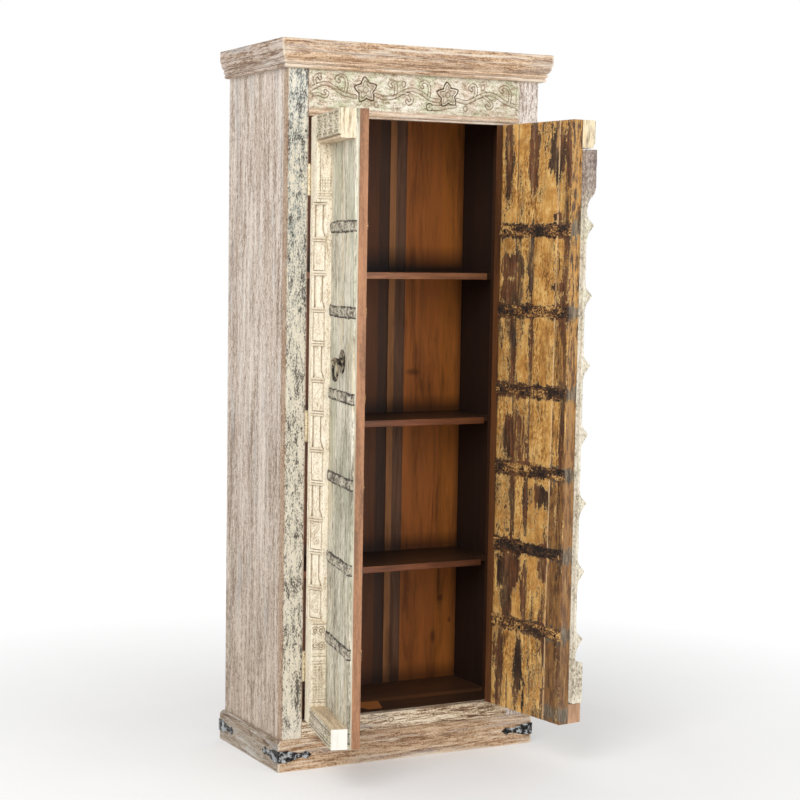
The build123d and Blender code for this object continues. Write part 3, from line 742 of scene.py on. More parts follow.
def flaking_finish(name, seed):
    """Old white paint that comes off in small chips over a blue-grey coat, with brown edges."""
    tint = colours()
    size = sizes()
    made = Finish(name, roughness=0.75)
    chips = made.grain(seed, 3.0, 88, 8, 0.76, 0.5)
    fine = made.grain((seed, 2, 0), 2, 300, 6, 0.76, 0.4)
    broad = made.grain((seed, 1, 0), 4, 30, 5, 0.65)
    level = made.at("Z")
    upper = made.between(level, 0.95, 1.45)
    coat = made.spread((fine, 1.4), (chips, 1.0), (broad, 0.9), (upper, -0.06))
    greys = made.mix(
        upper, made.ramp(coat, (0.3, paint(94, 88, 78)), (0.42, paint(186, 180, 166))),
        made.ramp(coat, (0.3, paint(78, 86, 88)), (0.42, tint.flake_blue)),
    )
    base = made.mix(
        made.between(coat, 0.44, 0.54), greys,
        made.ramp(coat, (0.49, paint(224, 218, 202)), (0.6, tint.flake_white)),
    )
    bare = made.spread((chips, 1.7), (broad, 1.0), (fine, 1.2))
    wood = made.ramp(fine, (0.36, paint(58, 54, 52)), (0.6, paint(118, 108, 96)))
    base = made.lay(base, wood, 0.92, bare, 0.43, 0.34)
    half = size.stile_width / 2
    across = made.apart(made.unsigned(made.at("X")), size.half_width - half)
    ragged = made.times(made.grain((0, 0, seed), 3, 40, 5, 0.7), 0.012, across)
    edge = made.between(ragged, half + 0.0015, half + 0.0055)
    base = made.lay(
        base, made.ramp(fine, (0.35, tint.old_wood_red), (0.62, paint(190, 158, 126))), 0.8, edge,
    )
    return made.done(base, made.spread((chips, 1.5), (fine, 1.3)), 0.002, 1.0)


def carved_finish(name, pale, ground, worn, line, green=0.0, seed=0.0, rough=1.0, stretch=(1, 1, 6)):
    """Painted carving: paint on the ground, worn high parts, and darker low places and cut lines, in the
    narrow cuts as painted shade.
    """
    tint = colours()
    made = Finish(name, roughness=0.72)
    lift = made.attribute("carved")
    grain = made.grain(seed, stretch, 120, 5, 0.66)
    mottle = made.grain((seed, 3, 0), partly(stretch, 0.25), 130, 7, 0.74, 0.4)
    fine = made.grain((seed, 1, 0), partly(stretch, 0.2), 420, 4, 0.7)
    patch = made.grain((seed, 2, 0), 1, 15, 4, 0.6)
    tone = made.spread((grain, 0.6), (mottle, 0.95 * rough), (fine, 1.1), (patch, 0.3))
    base = made.ramp(tone, (0.18, toned(worn, 0.6)), (0.34, worn), (0.49, ground), (0.68, pale))
    if green:
        tinted = made.between(made.grain((seed, 5, 0), 1, 17, 5, 0.66), 0.45, 0.6)
        base = made.lay(base, tint.pale_green, green, tinted, blend="MULTIPLY")
        pink = made.between(made.grain((seed, 7, 0), 1, 21, 5, 0.66), 0.5, 0.62)
        base = made.lay(base, paint(236, 218, 210), green, pink, blend="MULTIPLY")
    rubbed = made.between(made.times(mottle, 1.4, lift), 1.9, 2.7)
    base = made.lay(base, worn, 0.4, rubbed)
    # The mask named dirt darkens the low places of the relief and, through the crevice mask, the narrow
    # cuts as painted shade.
    dirt = made.between(made.times(mottle, 0.9, lift), 0.1, -0.7)
    corner = made.crevice(0.007, 0.16, 0.5)
    dirt = made.maths("MAXIMUM", dirt, made.times(corner, 0.8))
    base = made.lay(base, line, 0.9, dirt)
    return made.done(base, made.spread((grain, 0.6), (mottle, 1.2 * rough), (fine, 0.6)), 0.0016, 0.9)


def plank_finish(side):
    """Grey-green paint on upright planks, streaked and finely cracked, with a bare free edge."""
    tint = colours()
    size = sizes()
    made = Finish(f"Green_Planks_{side}", roughness=0.75, side=side)
    streak = made.grain(0.4, UPRIGHT, 95, 6, 0.68)
    crack = made.grain(0.7, 5, 260, 5, 0.72, 0.4)
    patch = made.grain(0.2, 3, 14, 4, 0.6)
    tone = made.spread((streak, 1.4), (crack, 1.7), (patch, 0.9))
    upper = made.between(made.at("Z"), 0.7, 1.6)
    tone = made.times(upper, 0.05, tone)
    base = made.ramp(
        tone, (0.18, toned(tint.plank_dark, 0.55)), (0.34, tint.plank_dark), (0.5, tint.plank_green),
        (0.72, paint(228, 221, 203)),
    )
    warm = made.grain(1.9, 5, 16, 4, 0.6)
    base = made.lay(base, paint(206, 188, 152), 0.5, warm, 0.53, 0.64)
    flake = made.grain(2.4, 2.5, 90, 7, 0.74, 0.3)
    base = made.lay(base, paint(104, 94, 80), 0.7, flake, 0.37, 0.31)
    # Painted shade: the planks darkened in their corners and cuts.
    foot = made.crevice(0.02, 0.3, 0.7)
    base = made.lay(base, paint(86, 74, 60), 0.7, foot)
    green = made.between(made.grain(0.9, 4, 12, 4, 0.6), 0.47, 0.62)
    base = made.lay(base, paint(166, 168, 142), 0.5, green)
    split = made.grain(3.1, 9, 240, 6, 0.76, 0.2)
    base = made.lay(base, paint(112, 102, 84), 0.6, split, 0.57, 0.64)
    base = made.lay(base, paint(236, 230, 214), 0.4, split, 0.42, 0.36)
    u = made.leaf_reach(0)
    end = made.more(u, size.leaf_edge + size.leaf_width - SAWN)
    bare = made.ramp(streak, (0.35, paint(150, 138, 114)), (0.6, paint(206, 198, 178)))
    if side == "left":
        base = made.mix(end, base, strap_ends(made, base, crack))
        inward = made.leaf_reach(1)
        rear = made.more(inward, size.hinge_reach + size.frame_depth + 0.006)
        end = made.times(end, rear)
    if side == "right":
        bare = old_edge(made)
    return made.done(made.mix(end, base, bare), made.spread((streak, 0.8), (crack, 1.0)), 0.0014, 0.8)


def from_strap(made, level):
    """How many strap pitches a level is from a strap, and whether there are straps at that level."""
    size = sizes()
    step = made.maths("DIVIDE", made.minus(level, size.strap_head), size.strap_pitch)
    below = made.less(level, size.strap_head + size.strap_height)
    return made.apart(step, made.maths("ROUND", step)), below


def strap_ends(made, base, pits):
    """The ends of the straps, which are bent round the free edge of the planks."""
    size = sizes()
    away, below = from_strap(made, made.at("Z"))
    away = made.times(away, size.strap_pitch)
    away = made.times(made.minus(pits, 0.5), 0.006, away)
    half = size.strap_height / 2
    band = made.times(made.between(away, half + 0.0005, half - 0.0007), below)
    worn = made.ramp(
        pits, (0.36, paint(58, 50, 42)), (0.5, paint(146, 136, 118)), (0.62, paint(204, 196, 176)),
    )
    worn = made.mix(made.between(away, half - 0.005, half - 0.002), worn, paint(40, 34, 28))
    return made.mix(band, base, worn)


def old_edge(made):
    """The free edge of the old right leaf: olive, grey and pink streaks, dark where the bands cross."""
    tint = colours()
    streak = made.leaf_grain(9, 170, 6, 0.7, 0.3)
    blot = made.leaf_grain(2.4, 55, 7, 0.74, 0.3)
    base = made.ramp(
        made.spread((streak, 1.5), (blot, 1.2)), (0.2, toned(tint.old_wood, 0.5)), (0.36, tint.old_wood),
        (0.44, paint(124, 94, 52)), (0.51, paint(178, 126, 64)), (0.6, paint(204, 152, 80)),
        (0.72, paint(158, 130, 82)),
    )
    level = made.at("Z")
    low = made.between(level, 1.3, 0.8)
    base = made.lay(base, paint(122, 82, 50), 0.62, low)
    lowest = made.between(level, 0.6, 0.2)
    base = made.lay(base, paint(92, 60, 36), 0.3, lowest)
    line = made.leaf_grain(22, 210, 4, 0.6)
    base = made.lay(base, paint(196, 168, 116), 0.55, line, 0.6, 0.66)
    base = made.lay(base, paint(58, 48, 30), 0.6, line, 0.4, 0.34)
    away, below = from_strap(made, level)
    ragged = made.times(made.minus(blot, 0.5), 0.5, away)
    band = made.times(made.between(ragged, 0.11, 0.07), below)
    return made.lay(
        base, made.ramp(streak, (0.4, paint(44, 34, 26)), (0.62, paint(134, 124, 106))), 0.85, band,
    )


def old_back_finish(side):
    """Ochre paint flaking off dark boards: worn in upright runs, along the seams and by the bands."""
    tint = colours()
    size = sizes()
    made = Finish(f"Flaking_Ochre_{side}", roughness=0.6, side=side)
    local = made.leaf()
    run = made.leaf_grain(6, 42, 7, 0.68, 0.2)
    edge = made.leaf_grain(1.6, 130, 6, 0.72, 0.4)
    broad = made.leaf_grain(2.4, 8.5, 3, 0.55)
    worn = made.spread((run, 1.0), (edge, 0.75), (broad, 0.5))
    worn = made.times(made.attribute("worn"), 0.36, worn)
    bare = made.between(worn, 0.625, 0.65)
    rim = made.minus(made.between(worn, 0.58, 0.625), bare)
    fibre = made.leaf_grain(UPRIGHT, 150, 5, 0.7)
    crackle = made.leaf_grain(3, 260, 4, 0.72, 0.3)
    cloud = made.noise(local, 22, 5, 0.65)
    rough = made.between(made.leaf_grain(3, 13, 5, 0.62), 0.47, 0.56)
    coat_stops = (
        (0.18, paint(98, 62, 28)), (0.34, tint.ochre_dark), (0.5, tint.ochre), (0.7, paint(238, 197, 124)),
    )
    coat = made.mix(
        rough, made.ramp(made.spread((cloud, 0.9), (edge, 0.5), (fibre, 0.3)), *coat_stops),
        made.ramp(made.spread((cloud, 1.0), (fibre, 0.9), (edge, 1.3), (crackle, 1.6)), *coat_stops),
    )
    scratch = made.leaf_grain(6, 170, 6, 0.78, 0.2)
    scratch = made.between(made.times(rough, 0.035, scratch), 0.59, 0.65)
    coat = made.lay(coat, paint(74, 48, 28), 0.8, scratch)
    stain = made.leaf_grain(4, 24, 6, 0.7)
    coat = made.lay(coat, paint(138, 92, 44), 0.6, stain, 0.52, 0.64)
    coat = made.lay(coat, paint(243, 208, 142), 0.9, rim)
    shade = made.spread((fibre, 1.0), (made.leaf_grain(5, 30, 5, 0.65), 1.2), (edge, 0.6))
    wood = made.ramp(
        shade, (0.24, toned(tint.old_wood, 0.3)), (0.42, tint.old_wood), (0.56, tint.old_wood_red),
        (0.64, paint(104, 88, 66)), (0.74, tint.ochre),
    )
    burnt = made.between(made.leaf_grain(2.5, 12, 4, 0.6), 0.46, 0.56)
    black = made.ramp(
        shade, (0.28, paint(36, 24, 16)), (0.46, paint(72, 51, 35)), (0.62, paint(100, 78, 54)),
        (0.72, paint(176, 134, 84)),
    )
    wood = made.mix(burnt, wood, black)
    lift = made.attribute("carved")
    seam = made.between(made.times(edge, 1.6, lift), -0.6, -1.6)
    base = made.lay(made.mix(bare, coat, wood), toned(tint.old_wood, 0.25), 0.7, seam)
    u = made.unsigned(made.part(local, 0))
    corner = size.leaf_edge + size.leaf_width
    fringe = made.times(edge, -0.02, u)
    fringe = made.between(
        fringe, size.leaf_edge + size.lipping - 0.002, size.leaf_edge + size.lipping - 0.009,
    )
    base = made.lay(base, paint(56, 37, 22), 0.8, fringe)
    if side == "right":
        level = made.at("Z")
        low = made.between(level, 1.4, 0.5)
        strip = made.times(low, -0.010, size.leaf_edge + size.leaf_width * 0.835)
        strip = made.times(made.minus(run, 0.5), 0.010, strip)
        away = made.minus(u, strip)
        kept = made.times(low, -0.17, made.spread((run, 1.3), (edge, 0.6)))
        old = old_edge(made)
        outer = made.mix(made.between(kept, 0.41, 0.44), old, base)
        base = made.mix(made.more(away, 0.0), base, outer)
        # Painted highlight: a pale line beside the free edge board stands for light on a ridge that is not
        # modelled.
        ridge = made.times(made.between(away, -0.0055, -0.003), made.between(away, 0.001, -0.0005))
        ridge = made.times(ridge, made.between(edge, 0.40, 0.47))
        base = made.lay(base, paint(232, 194, 144), 0.8, ridge)
        base = made.mix(made.more(u, corner - 0.001), base, old)
    height = made.spread((made.minus(1.0, bare), 0.9), (fibre, 0.4), (edge, 0.5), (crackle, 0.3))
    return made.done(base, height, 0.002, 0.9)


def old_strap_finish(side):
    """Iron bands on the back, black with rust and crumbs of ochre paint."""
    tint = colours()
    made = Finish(f"Old_Back_Bands_{side}", roughness=0.6, side=side)
    pits = made.leaf_grain((1.3, 1, 1), 190, 8, 0.78)
    broad = made.leaf_grain((2, 1, 1), 30, 4, 0.6)
    tone = made.spread((pits, 1.5), (broad, 0.9))
    base = made.ramp(
        tone, (0.32, paint(20, 14, 11)), (0.47, paint(54, 40, 30)), (0.55, tint.rust),
        (0.63, tint.ochre_dark), (0.70, paint(232, 190, 120)),
    )
    # Painted shade: the creases of the bands darkened.
    low = made.times(made.crevice(0.006, 0.25, 0.6), 0.8)
    base = made.mix(low, base, paint(28, 20, 14))
    return made.done(base, made.spread((pits, 1.2), (broad, 0.6)), 0.0022, 0.9)


def hammered_iron(name, shine, pale, rubbed, ground=None):
    """Blackened iron, beaten, with worn places and pale rubbed places, which partly stand for painted
    highlights.
    """
    tint = colours()
    made = Finish(name, roughness=0.5, metallic=shine)
    dents = made.grain(0, 1, 95, 3, 0.5)
    pits = made.grain(1, 1, 330, 5, 0.7)
    broad = made.grain(2, 1, 62, 5, 0.62)
    base = made.ramp(
        made.spread((pits, 0.6), (broad, 1.5)), (0.34, toned(tint.iron, 0.3)), (0.5, ground or tint.iron),
        (0.5 + pale, rubbed), (0.95, rubbed),
    )
    gloss = made.ramp(pits, (0.3, 0.28), (0.7, 0.55))
    return made.done(base, made.spread((dents, 1.6), (pits, 0.4)), 0.003, 0.9, gloss)


def painted_strap_finish():
    """Front straps: the paint of the planks over pitted iron, black at the edges where it has gone, with
    painted shade in the creases and a painted shadow along the lower edge.
    """
    made = Finish("Painted_Front_Straps", roughness=0.65)
    pits = made.grain(0, 1, 150, 8, 0.75)
    broad = made.grain(1, 1, 40, 4, 0.6)
    tone = made.spread((pits, 2.0), (broad, 0.9))
    base = made.ramp(
        tone, (0.3, paint(54, 46, 38)), (0.4, paint(118, 106, 90)), (0.52, paint(178, 168, 148)),
        (0.66, paint(212, 204, 184)),
    )
    # Painted shade: the creases and the rims of the nail heads darkened.
    base = made.lay(base, paint(40, 34, 28), 0.9, made.crevice(0.008, 0.15, 0.5))
    # The attribute worn holds the worn edges and the painted shadow along the lower edge.
    gone = made.between(made.times(made.minus(pits, 0.5), 2.4, made.attribute("worn")), 0.4, 0.58)
    base = made.lay(base, paint(40, 34, 28), 0.92, gone)
    return made.done(base, made.spread((pits, 1.5), (broad, 0.8)), 0.0024, 1.0)


def back_plank_finish():
    """The planks of the back: each its own wood inside, with painted shade above the shelves and towards
    the right wall, raw wood behind.
    """
    tint = colours()
    made = Finish("Back_Planks", roughness=0.55)
    x = made.at("X")
    y = made.at("Y")
    share = made.plus(made.maths("DIVIDE", x, BACK_WIDTH), 0.5)
    plank = made.ramp(
        share, (0.0, paint(168, 98, 46)), (0.2334, paint(126, 74, 42)), (0.4889, paint(112, 66, 36)),
        (0.615, paint(84, 56, 40)), (0.6616, paint(188, 128, 80)), (0.688, paint(134, 96, 72)),
        (0.7348, tint.inside_orange), (0.8986, paint(200, 119, 50)), hard=True,
    )
    drawn = made.place((0.2, 0, 0), (1, 1, 9))
    soft = made.noise(drawn, 20, 5, 0.6, 0.6)
    fine = made.noise(drawn, 130, 4, 0.6)
    tone = made.spread((soft, 1.1), (fine, 0.5))
    shade = made.ramp(tone, (0.2, 0.5), (0.5, 1.06), (0.8, 1.32))
    inside = made.mix(1.0, plank, shade, "MULTIPLY")
    run = made.grain(0.9, 12, 26, 5, 0.6, 0.5)
    vein = made.times(made.between(run, 0.56, 0.66), 0.55)
    inside = made.mix(vein, inside, paint(84, 46, 22))
    for across, up, wide, high in (
        (0.308, 0.354, 0.011, 0.012), (0.285, 0.240, 0.011, 0.024), (0.300, 0.400, 0.006, 0.090),
        (0.341, 0.286, 0.007, 0.010), (0.203, 1.023, 0.026, 0.012),
    ):
        far = made.distance((across, BACK_INSIDE, up), (wide, 1, high))
        ragged = made.times(made.grain(0, 1, 60, 4, 0.6), 0.8, far)
        knot = made.between(ragged, 1.5, 0.8)
        inside = made.lay(inside, paint(78, 44, 24), 0.6, knot)
    level = made.at("Z")
    # Painted shade: the planks darkened just above each shelf and the floor.
    for top, reach, strength in zip(COMPARTMENT_FLOORS, (0.05, 0.05, 0.05, 0.075), (0.6, 0.7, 0.75, 0.95)):
        shade_above_shelf = made.times(
            made.between(level, top + reach, top + 0.01), made.between(level, top - 0.02, top),
        )
        inside = made.lay(inside, paint(20, 12, 8), strength, shade_above_shelf)
    # Painted shadow: the planks darkened towards the right wall.
    corner = made.times(made.between(x, 0.337, 0.37), 0.8)
    inside = made.mix(corner, inside, paint(44, 26, 14))
    grain = made.grain(0.4, 36, 190, 6, 0.7)
    wide = made.grain(0.8, 11, 26, 4, 0.55, 0.9)
    raw_tone = made.spread((grain, 1.5), (wide, 0.8))
    raw = made.ramp(raw_tone, (0.3, tint.tan_dark), (0.5, tint.tan_mid), (0.74, tint.tan_pale))
    raw = made.mix(1.0, raw, (0.78, 0.78, 0.78), "MULTIPLY")
    for seam in BACK_SEAMS:
        away = made.apart(x, seam)
        raw = made.mix(made.between(away, 0.0018, 0.0009), raw, paint(50, 37, 26))
    behind = made.more(y, BACK_OUTSIDE)
    return made.done(made.mix(behind, inside, raw), made.spread((fine, 1.0)), 0.0006, 0.4)


def floor_finish():
    """The dark floor of the cabinet, in three boards, with painted shade in its corners and a painted pool
    of light near the front.
    """
    made = Finish("Cabinet_Floor", roughness=0.5)
    tone = made.spread(
        (made.grain(0.3, (11, 1, 1), 26, 5, 0.6), 1.0), (made.grain(0.3, (11, 1, 1), 140, 4, 0.6), 0.6),
    )
    y = made.at("Y")
    board_tone = made.ramp(
        y, (0.0, paint(64, 44, 30)), (0.152, paint(106, 72, 46)), (0.185, paint(84, 56, 38)), hard=True,
    )
    shade = made.ramp(tone, (0.2, 0.5), (0.5, 1.0), (0.8, 1.4))
    base = made.mix(1.0, board_tone, shade, "MULTIPLY")
    # Painted shade: the corners of the floor darkened.
    base = made.lay(base, paint(30, 18, 10), 0.5, made.crevice(0.05, 0.4, 0.8))
    # Painted light: a pale patch near the front where light falls in.
    local = made.place((-0.05, 0.125, 0))
    wide = made.times(made.part(local, 1), -0.35, made.unsigned(made.part(local, 0)))
    painted_light_patch = made.times(made.less(wide, 0.036), made.less(made.unsigned(made.part(local, 1)), 0.040))
    base = made.mix(painted_light_patch, base, made.mix(1.0, paint(196, 126, 66), shade, "MULTIPLY"))
    return made.done(base, tone, 0.0006, 0.4)


def shelf_finish():
    """Dark waxed boards with warmer front edges, and painted shade towards the back, on the lower edges and
    at the right ends.
    """
    tint = colours()
    made = Finish("Shelves", roughness=0.5)
    drawn = made.place((0.1, 0, 0), (11, 1, 1))
    tone = made.spread((made.noise(drawn, 22, 5, 0.6), 1.0), (made.noise(drawn, 140, 4, 0.6), 0.6))
    top = made.ramp(tone, (0.2, paint(42, 27, 16)), (0.5, paint(68, 45, 29)), (0.8, paint(94, 62, 40)))
    edge = made.ramp(
        tone, (0.3, toned(tint.shelf_edge, 0.5)), (0.5, tint.shelf_edge), (0.7, paint(190, 130, 88)),
    )
    y = made.at("Y")
    # Painted shade: the tops darken towards the back.
    top = made.lay(top, paint(24, 15, 9), 0.7, y, 0.14, 0.32)
    # Painted shade: the edges of the lower shelves darkened.
    lower = made.less(made.at("Z"), 1.1)
    edge = made.lay(edge, paint(186, 150, 108), 0.75, lower, blend="MULTIPLY")
    # Painted shadow: the right ends of the edges darkened.
    shaded = made.between(made.at("X"), 0.12, 0.32)
    edge = made.lay(edge, paint(60, 34, 18), 0.45, shaded)
    front = made.less(y, SHELF_FRONT)
    return made.done(made.mix(front, top, edge), tone, 0.0006, 0.4)


def lipping_finish(name, ground):
    """Smooth planed edge strips with a soft grain."""
    made = Finish(name, roughness=0.55)
    soft = made.grain(0.5, 12, 60, 4, 0.6, 0.3)
    fine = made.grain(0.5, 4, 300, 4, 0.7)
    patch = made.grain((0, 0.3, 0), 3, 6, 3, 0.5)
    upper = made.between(made.at("Z"), 1.2, 1.7)
    tone = made.spread((soft, 1.5), (fine, 1.0), (patch, 1.1))
    tone = made.times(upper, -0.3, tone)
    base = made.ramp(
        tone, (0.15, toned(ground, 0.5)), (0.34, toned(ground, 0.76)), (0.52, ground),
        (0.85, toned(ground, 1.3)),
    )
    return made.done(base, tone, 0.0006, 0.5)


def rail_finish(side, which):
    """A leaf's rail: cream paint, with the bare sawn end at the free edge."""
    tint = colours()
    size = sizes()
    made = Finish(f"{side.title()}_{which}_Rail", roughness=0.78, side=side)
    drawn = made.leaf(ACROSS)
    streak = made.noise(drawn, 60, 6, 0.66)
    fine = made.leaf_grain((4, 1, 1), 300, 4, 0.7)
    tone = made.spread((streak, 1.2), (fine, 0.9))
    base = made.ramp(tone, (0.2, tint.plank_dark), (0.5, tint.cream_worn), (0.8, tint.cream))
    u = made.leaf_reach(0)
    end = made.more(u, size.leaf_edge + size.leaf_width - SAWN)
    rings = made.leaf_grain(5, 70, 4, 0.6)
    if which == "Top":
        rings = made.leaf_grain(7, 120, 5, 0.66)
        tops = paint(226, 214, 190) if side == "left" else paint(236, 220, 186)
        sawn = made.ramp(
            rings, (0.34, paint(150, 128, 100)), (0.44, paint(206, 190, 160)), (0.54, tops),
            (0.7, paint(226, 186, 132)),
        )
    elif side == "left":
        sawn = made.ramp(rings, (0.3, paint(214, 208, 194)), (0.5, paint(232, 229, 219)))
    else:
        sawn = made.ramp(rings, (0.3, paint(158, 120, 90)), (0.6, paint(204, 162, 128)))
    return made.done(made.mix(end, base, sawn), made.spread((streak, 1.0), (fine, 0.6)), 0.0012, 0.6)


def wear_on(material, *nodes):
    """Gives a finish to pieces of the construction."""
    for name in nodes:
        piece = frame["nodes"][name]
        if not piece.material_slots:
            piece.data.materials.append(material)
        piece.material_slots[0].material = material


# ================================================================ operators
class CABINET_OT_carcass(bpy.types.Operator):
    """Paint and lime the boards, face frame, shelves and mouldings of the carcass"""

    bl_idname = "cabinet.carcass"
    bl_label = "Carcass"

    def execute(self, context):
        tint = colours()
        size = sizes()
        wear_on(side_board_finish(), "side_panel_left", "side_panel_right")
        wear_on(flaking_finish("Flaking_Stile", 0.3), "stile_left")
        made, base, height = limed_wood(
            "Limed_Stile", UPRIGHT, paint(236, 228, 222), paint(206, 194, 184), tint.limed_dark, seed=4.0
        )
        wear_on(made.done(base, height, 0.001, 0.5), "stile_right")
        whitened = size.cornice_foot + 0.042
        wear_on(moulding_finish("Cornice_Front", LONG, 1.0, (0.96, 0.91, 0.85), whitened), "cornice_front")
        wood = moulding_finish("Cornice_Sides", DEEP, 2.0, (0.72, 0.74, 0.82), contrast=1.4)
        wear_on(wood, "cornice_left", "cornice_right")
        wear_on(
            moulding_finish("Plinth_Front", LONG, 3.0, (0.84, 0.78, 0.7)), "plinth_front", "plinth_back",
        )
        wear_on(
            moulding_finish("Plinth_Sides", DEEP, 5.0, (0.55, 0.61, 0.68)), "plinth_left", "plinth_right",
        )
        wear_on(moulding_finish("Frieze_Bead", LONG, 6.0), "frieze_bead")
        wood = back_plank_finish()
        wear_on(wood, "back_planks")
        tongues = [
            board("tongue", seam - 0.002, seam + 0.002, 0.11, 1.872, 0.002, 0.1) for seam in BACK_SEAMS
        ]
        settle(
            joined("Back_Plank_Tongues", tongues), front_of_cabinet(0.3625), "cabinet", wood,
        )
        wear_on(shelf_finish(), "shelf_lower", "shelf_middle", "shelf_upper")
        wear_on(floor_finish(), "floor_board")
        made = Finish("Waxed_Jambs", roughness=0.55)
        wear_on(made.done(inside_tone(made, paint(62, 38, 24))), "jamb_left", "jamb_right")
        made, base, height = limed_wood(
            "Top_Board", ACROSS, tint.limed_pale, tint.limed_mid, tint.limed_dark, seed=7.0
        )
        below = made.less(made.at("Z"), TOP_UNDERSIDE)
        dark = inside_tone(made, tint.inside_dark)
        wear_on(made.done(made.mix(below, base, dark), height, 0.001, 0.5), "top_board")
        return {"FINISHED"}


class CABINET_OT_bottom_rail(bpy.types.Operator):
    """Lime the rail under the doors, with its coarse grain and its knot"""

    bl_idname = "cabinet.bottom_rail"
    bl_label = "Bottom Rail"

    def execute(self, context):
        made, base, height = limed_wood(
            "Limed_Bottom_Rail", (16, 1, 1), paint(242, 230, 206), paint(198, 174, 142), paint(112, 80, 56),
            seed=8.0, contrast=1.35, drawn=0.6,
        )
        far = made.distance((-0.047, 0.0, 0.1055), (0.011, 1, 0.0095))
        ring = made.ramp(
            far, (0.0, paint(226, 212, 190)), (0.42, paint(214, 196, 170)), (0.62, paint(120, 84, 58)),
            (0.85, paint(214, 196, 170)),
        )
        knot = made.between(far, 1.15, 0.95)
        wear_on(made.done(made.mix(knot, base, ring), height, 0.0016, 0.8), "bottom_rail")
        return {"FINISHED"}


class CABINET_OT_frieze(bpy.types.Operator):
    """Carve the vine scroll with its two flowers over the doors"""

    bl_idname = "cabinet.frieze"
    bl_label = "Frieze"

    # Places are millimetres across from the centre line and up from the floor.
    STEMS = (
        ((-309, 1778), (-288, 1789), (-264, 1793), (-240, 1783), (-216, 1770), (-182, 1764)),
        (
            (-122, 1771), (-99, 1765), (-69, 1768), (-39, 1782), (-14, 1790), (16, 1782), (41, 1768),
            (68, 1765),
        ),
        ((124, 1770), (154, 1765), (185, 1779), (216, 1790), (242, 1786), (274, 1770), (309, 1760)),
    )
    TENDRILS = (
        ((-309, 1762), (-288, 1765), (-270, 1760), (-262, 1768), (-268, 1774)),
        ((-39, 1780), (-21, 1777), (-13, 1763), (-22, 1753), (-29, 1759)),
        ((206, 1783), (224, 1772), (232, 1760), (224, 1752), (216, 1757)),
        ((-64, 1770), (-62, 1790), (-64, 1805), (-75, 1809), (-82, 1801), (-76, 1796)),
        ((36, 1770), (39, 1790), (35, 1807), (22, 1813), (11, 1805), (17, 1798)),
        ((176, 1774), (182, 1791), (181, 1806), (171, 1811), (162, 1803), (168, 1798)),
        ((286, 1766), (289, 1790), (283, 1806), (270, 1812), (257, 1804), (264, 1798)),
        ((-212, 1771), (-207, 1792), (-211, 1810), (-224, 1816), (-237, 1808), (-230, 1801)),
        ((-296, 1790), (-300, 1803), (-292, 1813), (-284, 1806)),
    )
    BUDS = ((-39, 1803), (203, 1806), (-286, 1812), (-120, 1746), (150, 1748))
    FLOWERS = (((-151, 1782), 33), ((95, 1781), 33))
    FISH = ((40, 1747), (60, 1746), (84, 1748), (118, 1753))

    def relief(self, x, y):
        x, y = x * 1000, y * 1000
        lift = 0.35 * uneven(x, y, 9, seed=1, octaves=3) + 0.2 * uneven(x / 3, y, 3, seed=5)
        for path in self.STEMS:
            line = smooth_path(path)
            lift += raised(away_from(x, y, line), 3.6, 1.9, 2.4, 1.8)
            lift -= 0.6 * np.exp(-(away_from(x, y, line) ** 2) / 0.8)
        for path in self.TENDRILS:
            away = away_from(x, y, smooth_path(path))
            lift += raised(away, 2.6, 1.5, 2.6, 1.7)
            end = np.hypot(x - path[-1][0], y - path[-1][1])
            lift += raised(end, 3.6, 0.8, 2.4, 0.8)
        for cx, cy in self.BUDS:
            away = np.hypot(x - cx, (y - cy) * 0.75)
            lift += raised(away, 4.2, 1.4, 2.6, 1.6)
        for (cx, cy), reach in self.FLOWERS:
            radius = np.hypot(x - cx, y - cy)
            turn = np.arctan2(y - cy, x - cx) - radians(96)
            petal = reach * (0.6 + 0.4 * (1 - np.abs(np.sin(2.5 * turn))) ** 0.75)
            away = radius - petal
            inside = away < 0
            dome = 2.2 * np.sqrt(np.clip(-away / reach, 0, 1))
            lift = np.where(inside, 0.6 + dome, lift)
            lift -= 3.0 * swell(away - 1.4, 2.1)
            lift -= 3.4 * swell(away + 7.5, 1.7)
            lift = np.where(radius < 5.5, 3.0 - radius * 0.1, lift)
            lift -= 3.6 * swell(radius - 7.2, 1.9)
        body = away_from(x, y, smooth_path(self.FISH)) * np.where(x > 80, 1.9, 1.2)
        head = np.hypot(x - 40, y - 1747)
        lift = np.where(head < 9, 1.2, lift + raised(np.minimum(body, head), 7.0, 2.2, 2.6, 2.2))
        lift = lift - 2.6 * swell(head - 9.6, 1.4) - 2.6 * swell(head, 2.2)
        return lift / 1000

    def execute(self, context):
        size = sizes()
        opening_half = size.half_width - size.stile_width
        half = opening_half - size.frieze_margin
        finish = carved_finish(
            "Carved_Frieze", paint(244, 238, 224), paint(222, 213, 194), paint(168, 150, 124),
            paint(134, 108, 84), 0.8, 0.0, 1.2, (5, 1, 1),
        )
        place = front_of_cabinet(size.frieze_sinking - 0.0022)
        field = board(
            "Frieze_Carving", -half, half, size.frieze_foot + size.frieze_margin, size.cornice_foot,
            0.0022, 0.0014, self.relief, arris=0.0006,
        )
        settle(field, place, "cabinet", finish, smooth=60)
        wear_on(finish, "frieze_board")
        return {"FINISHED"}


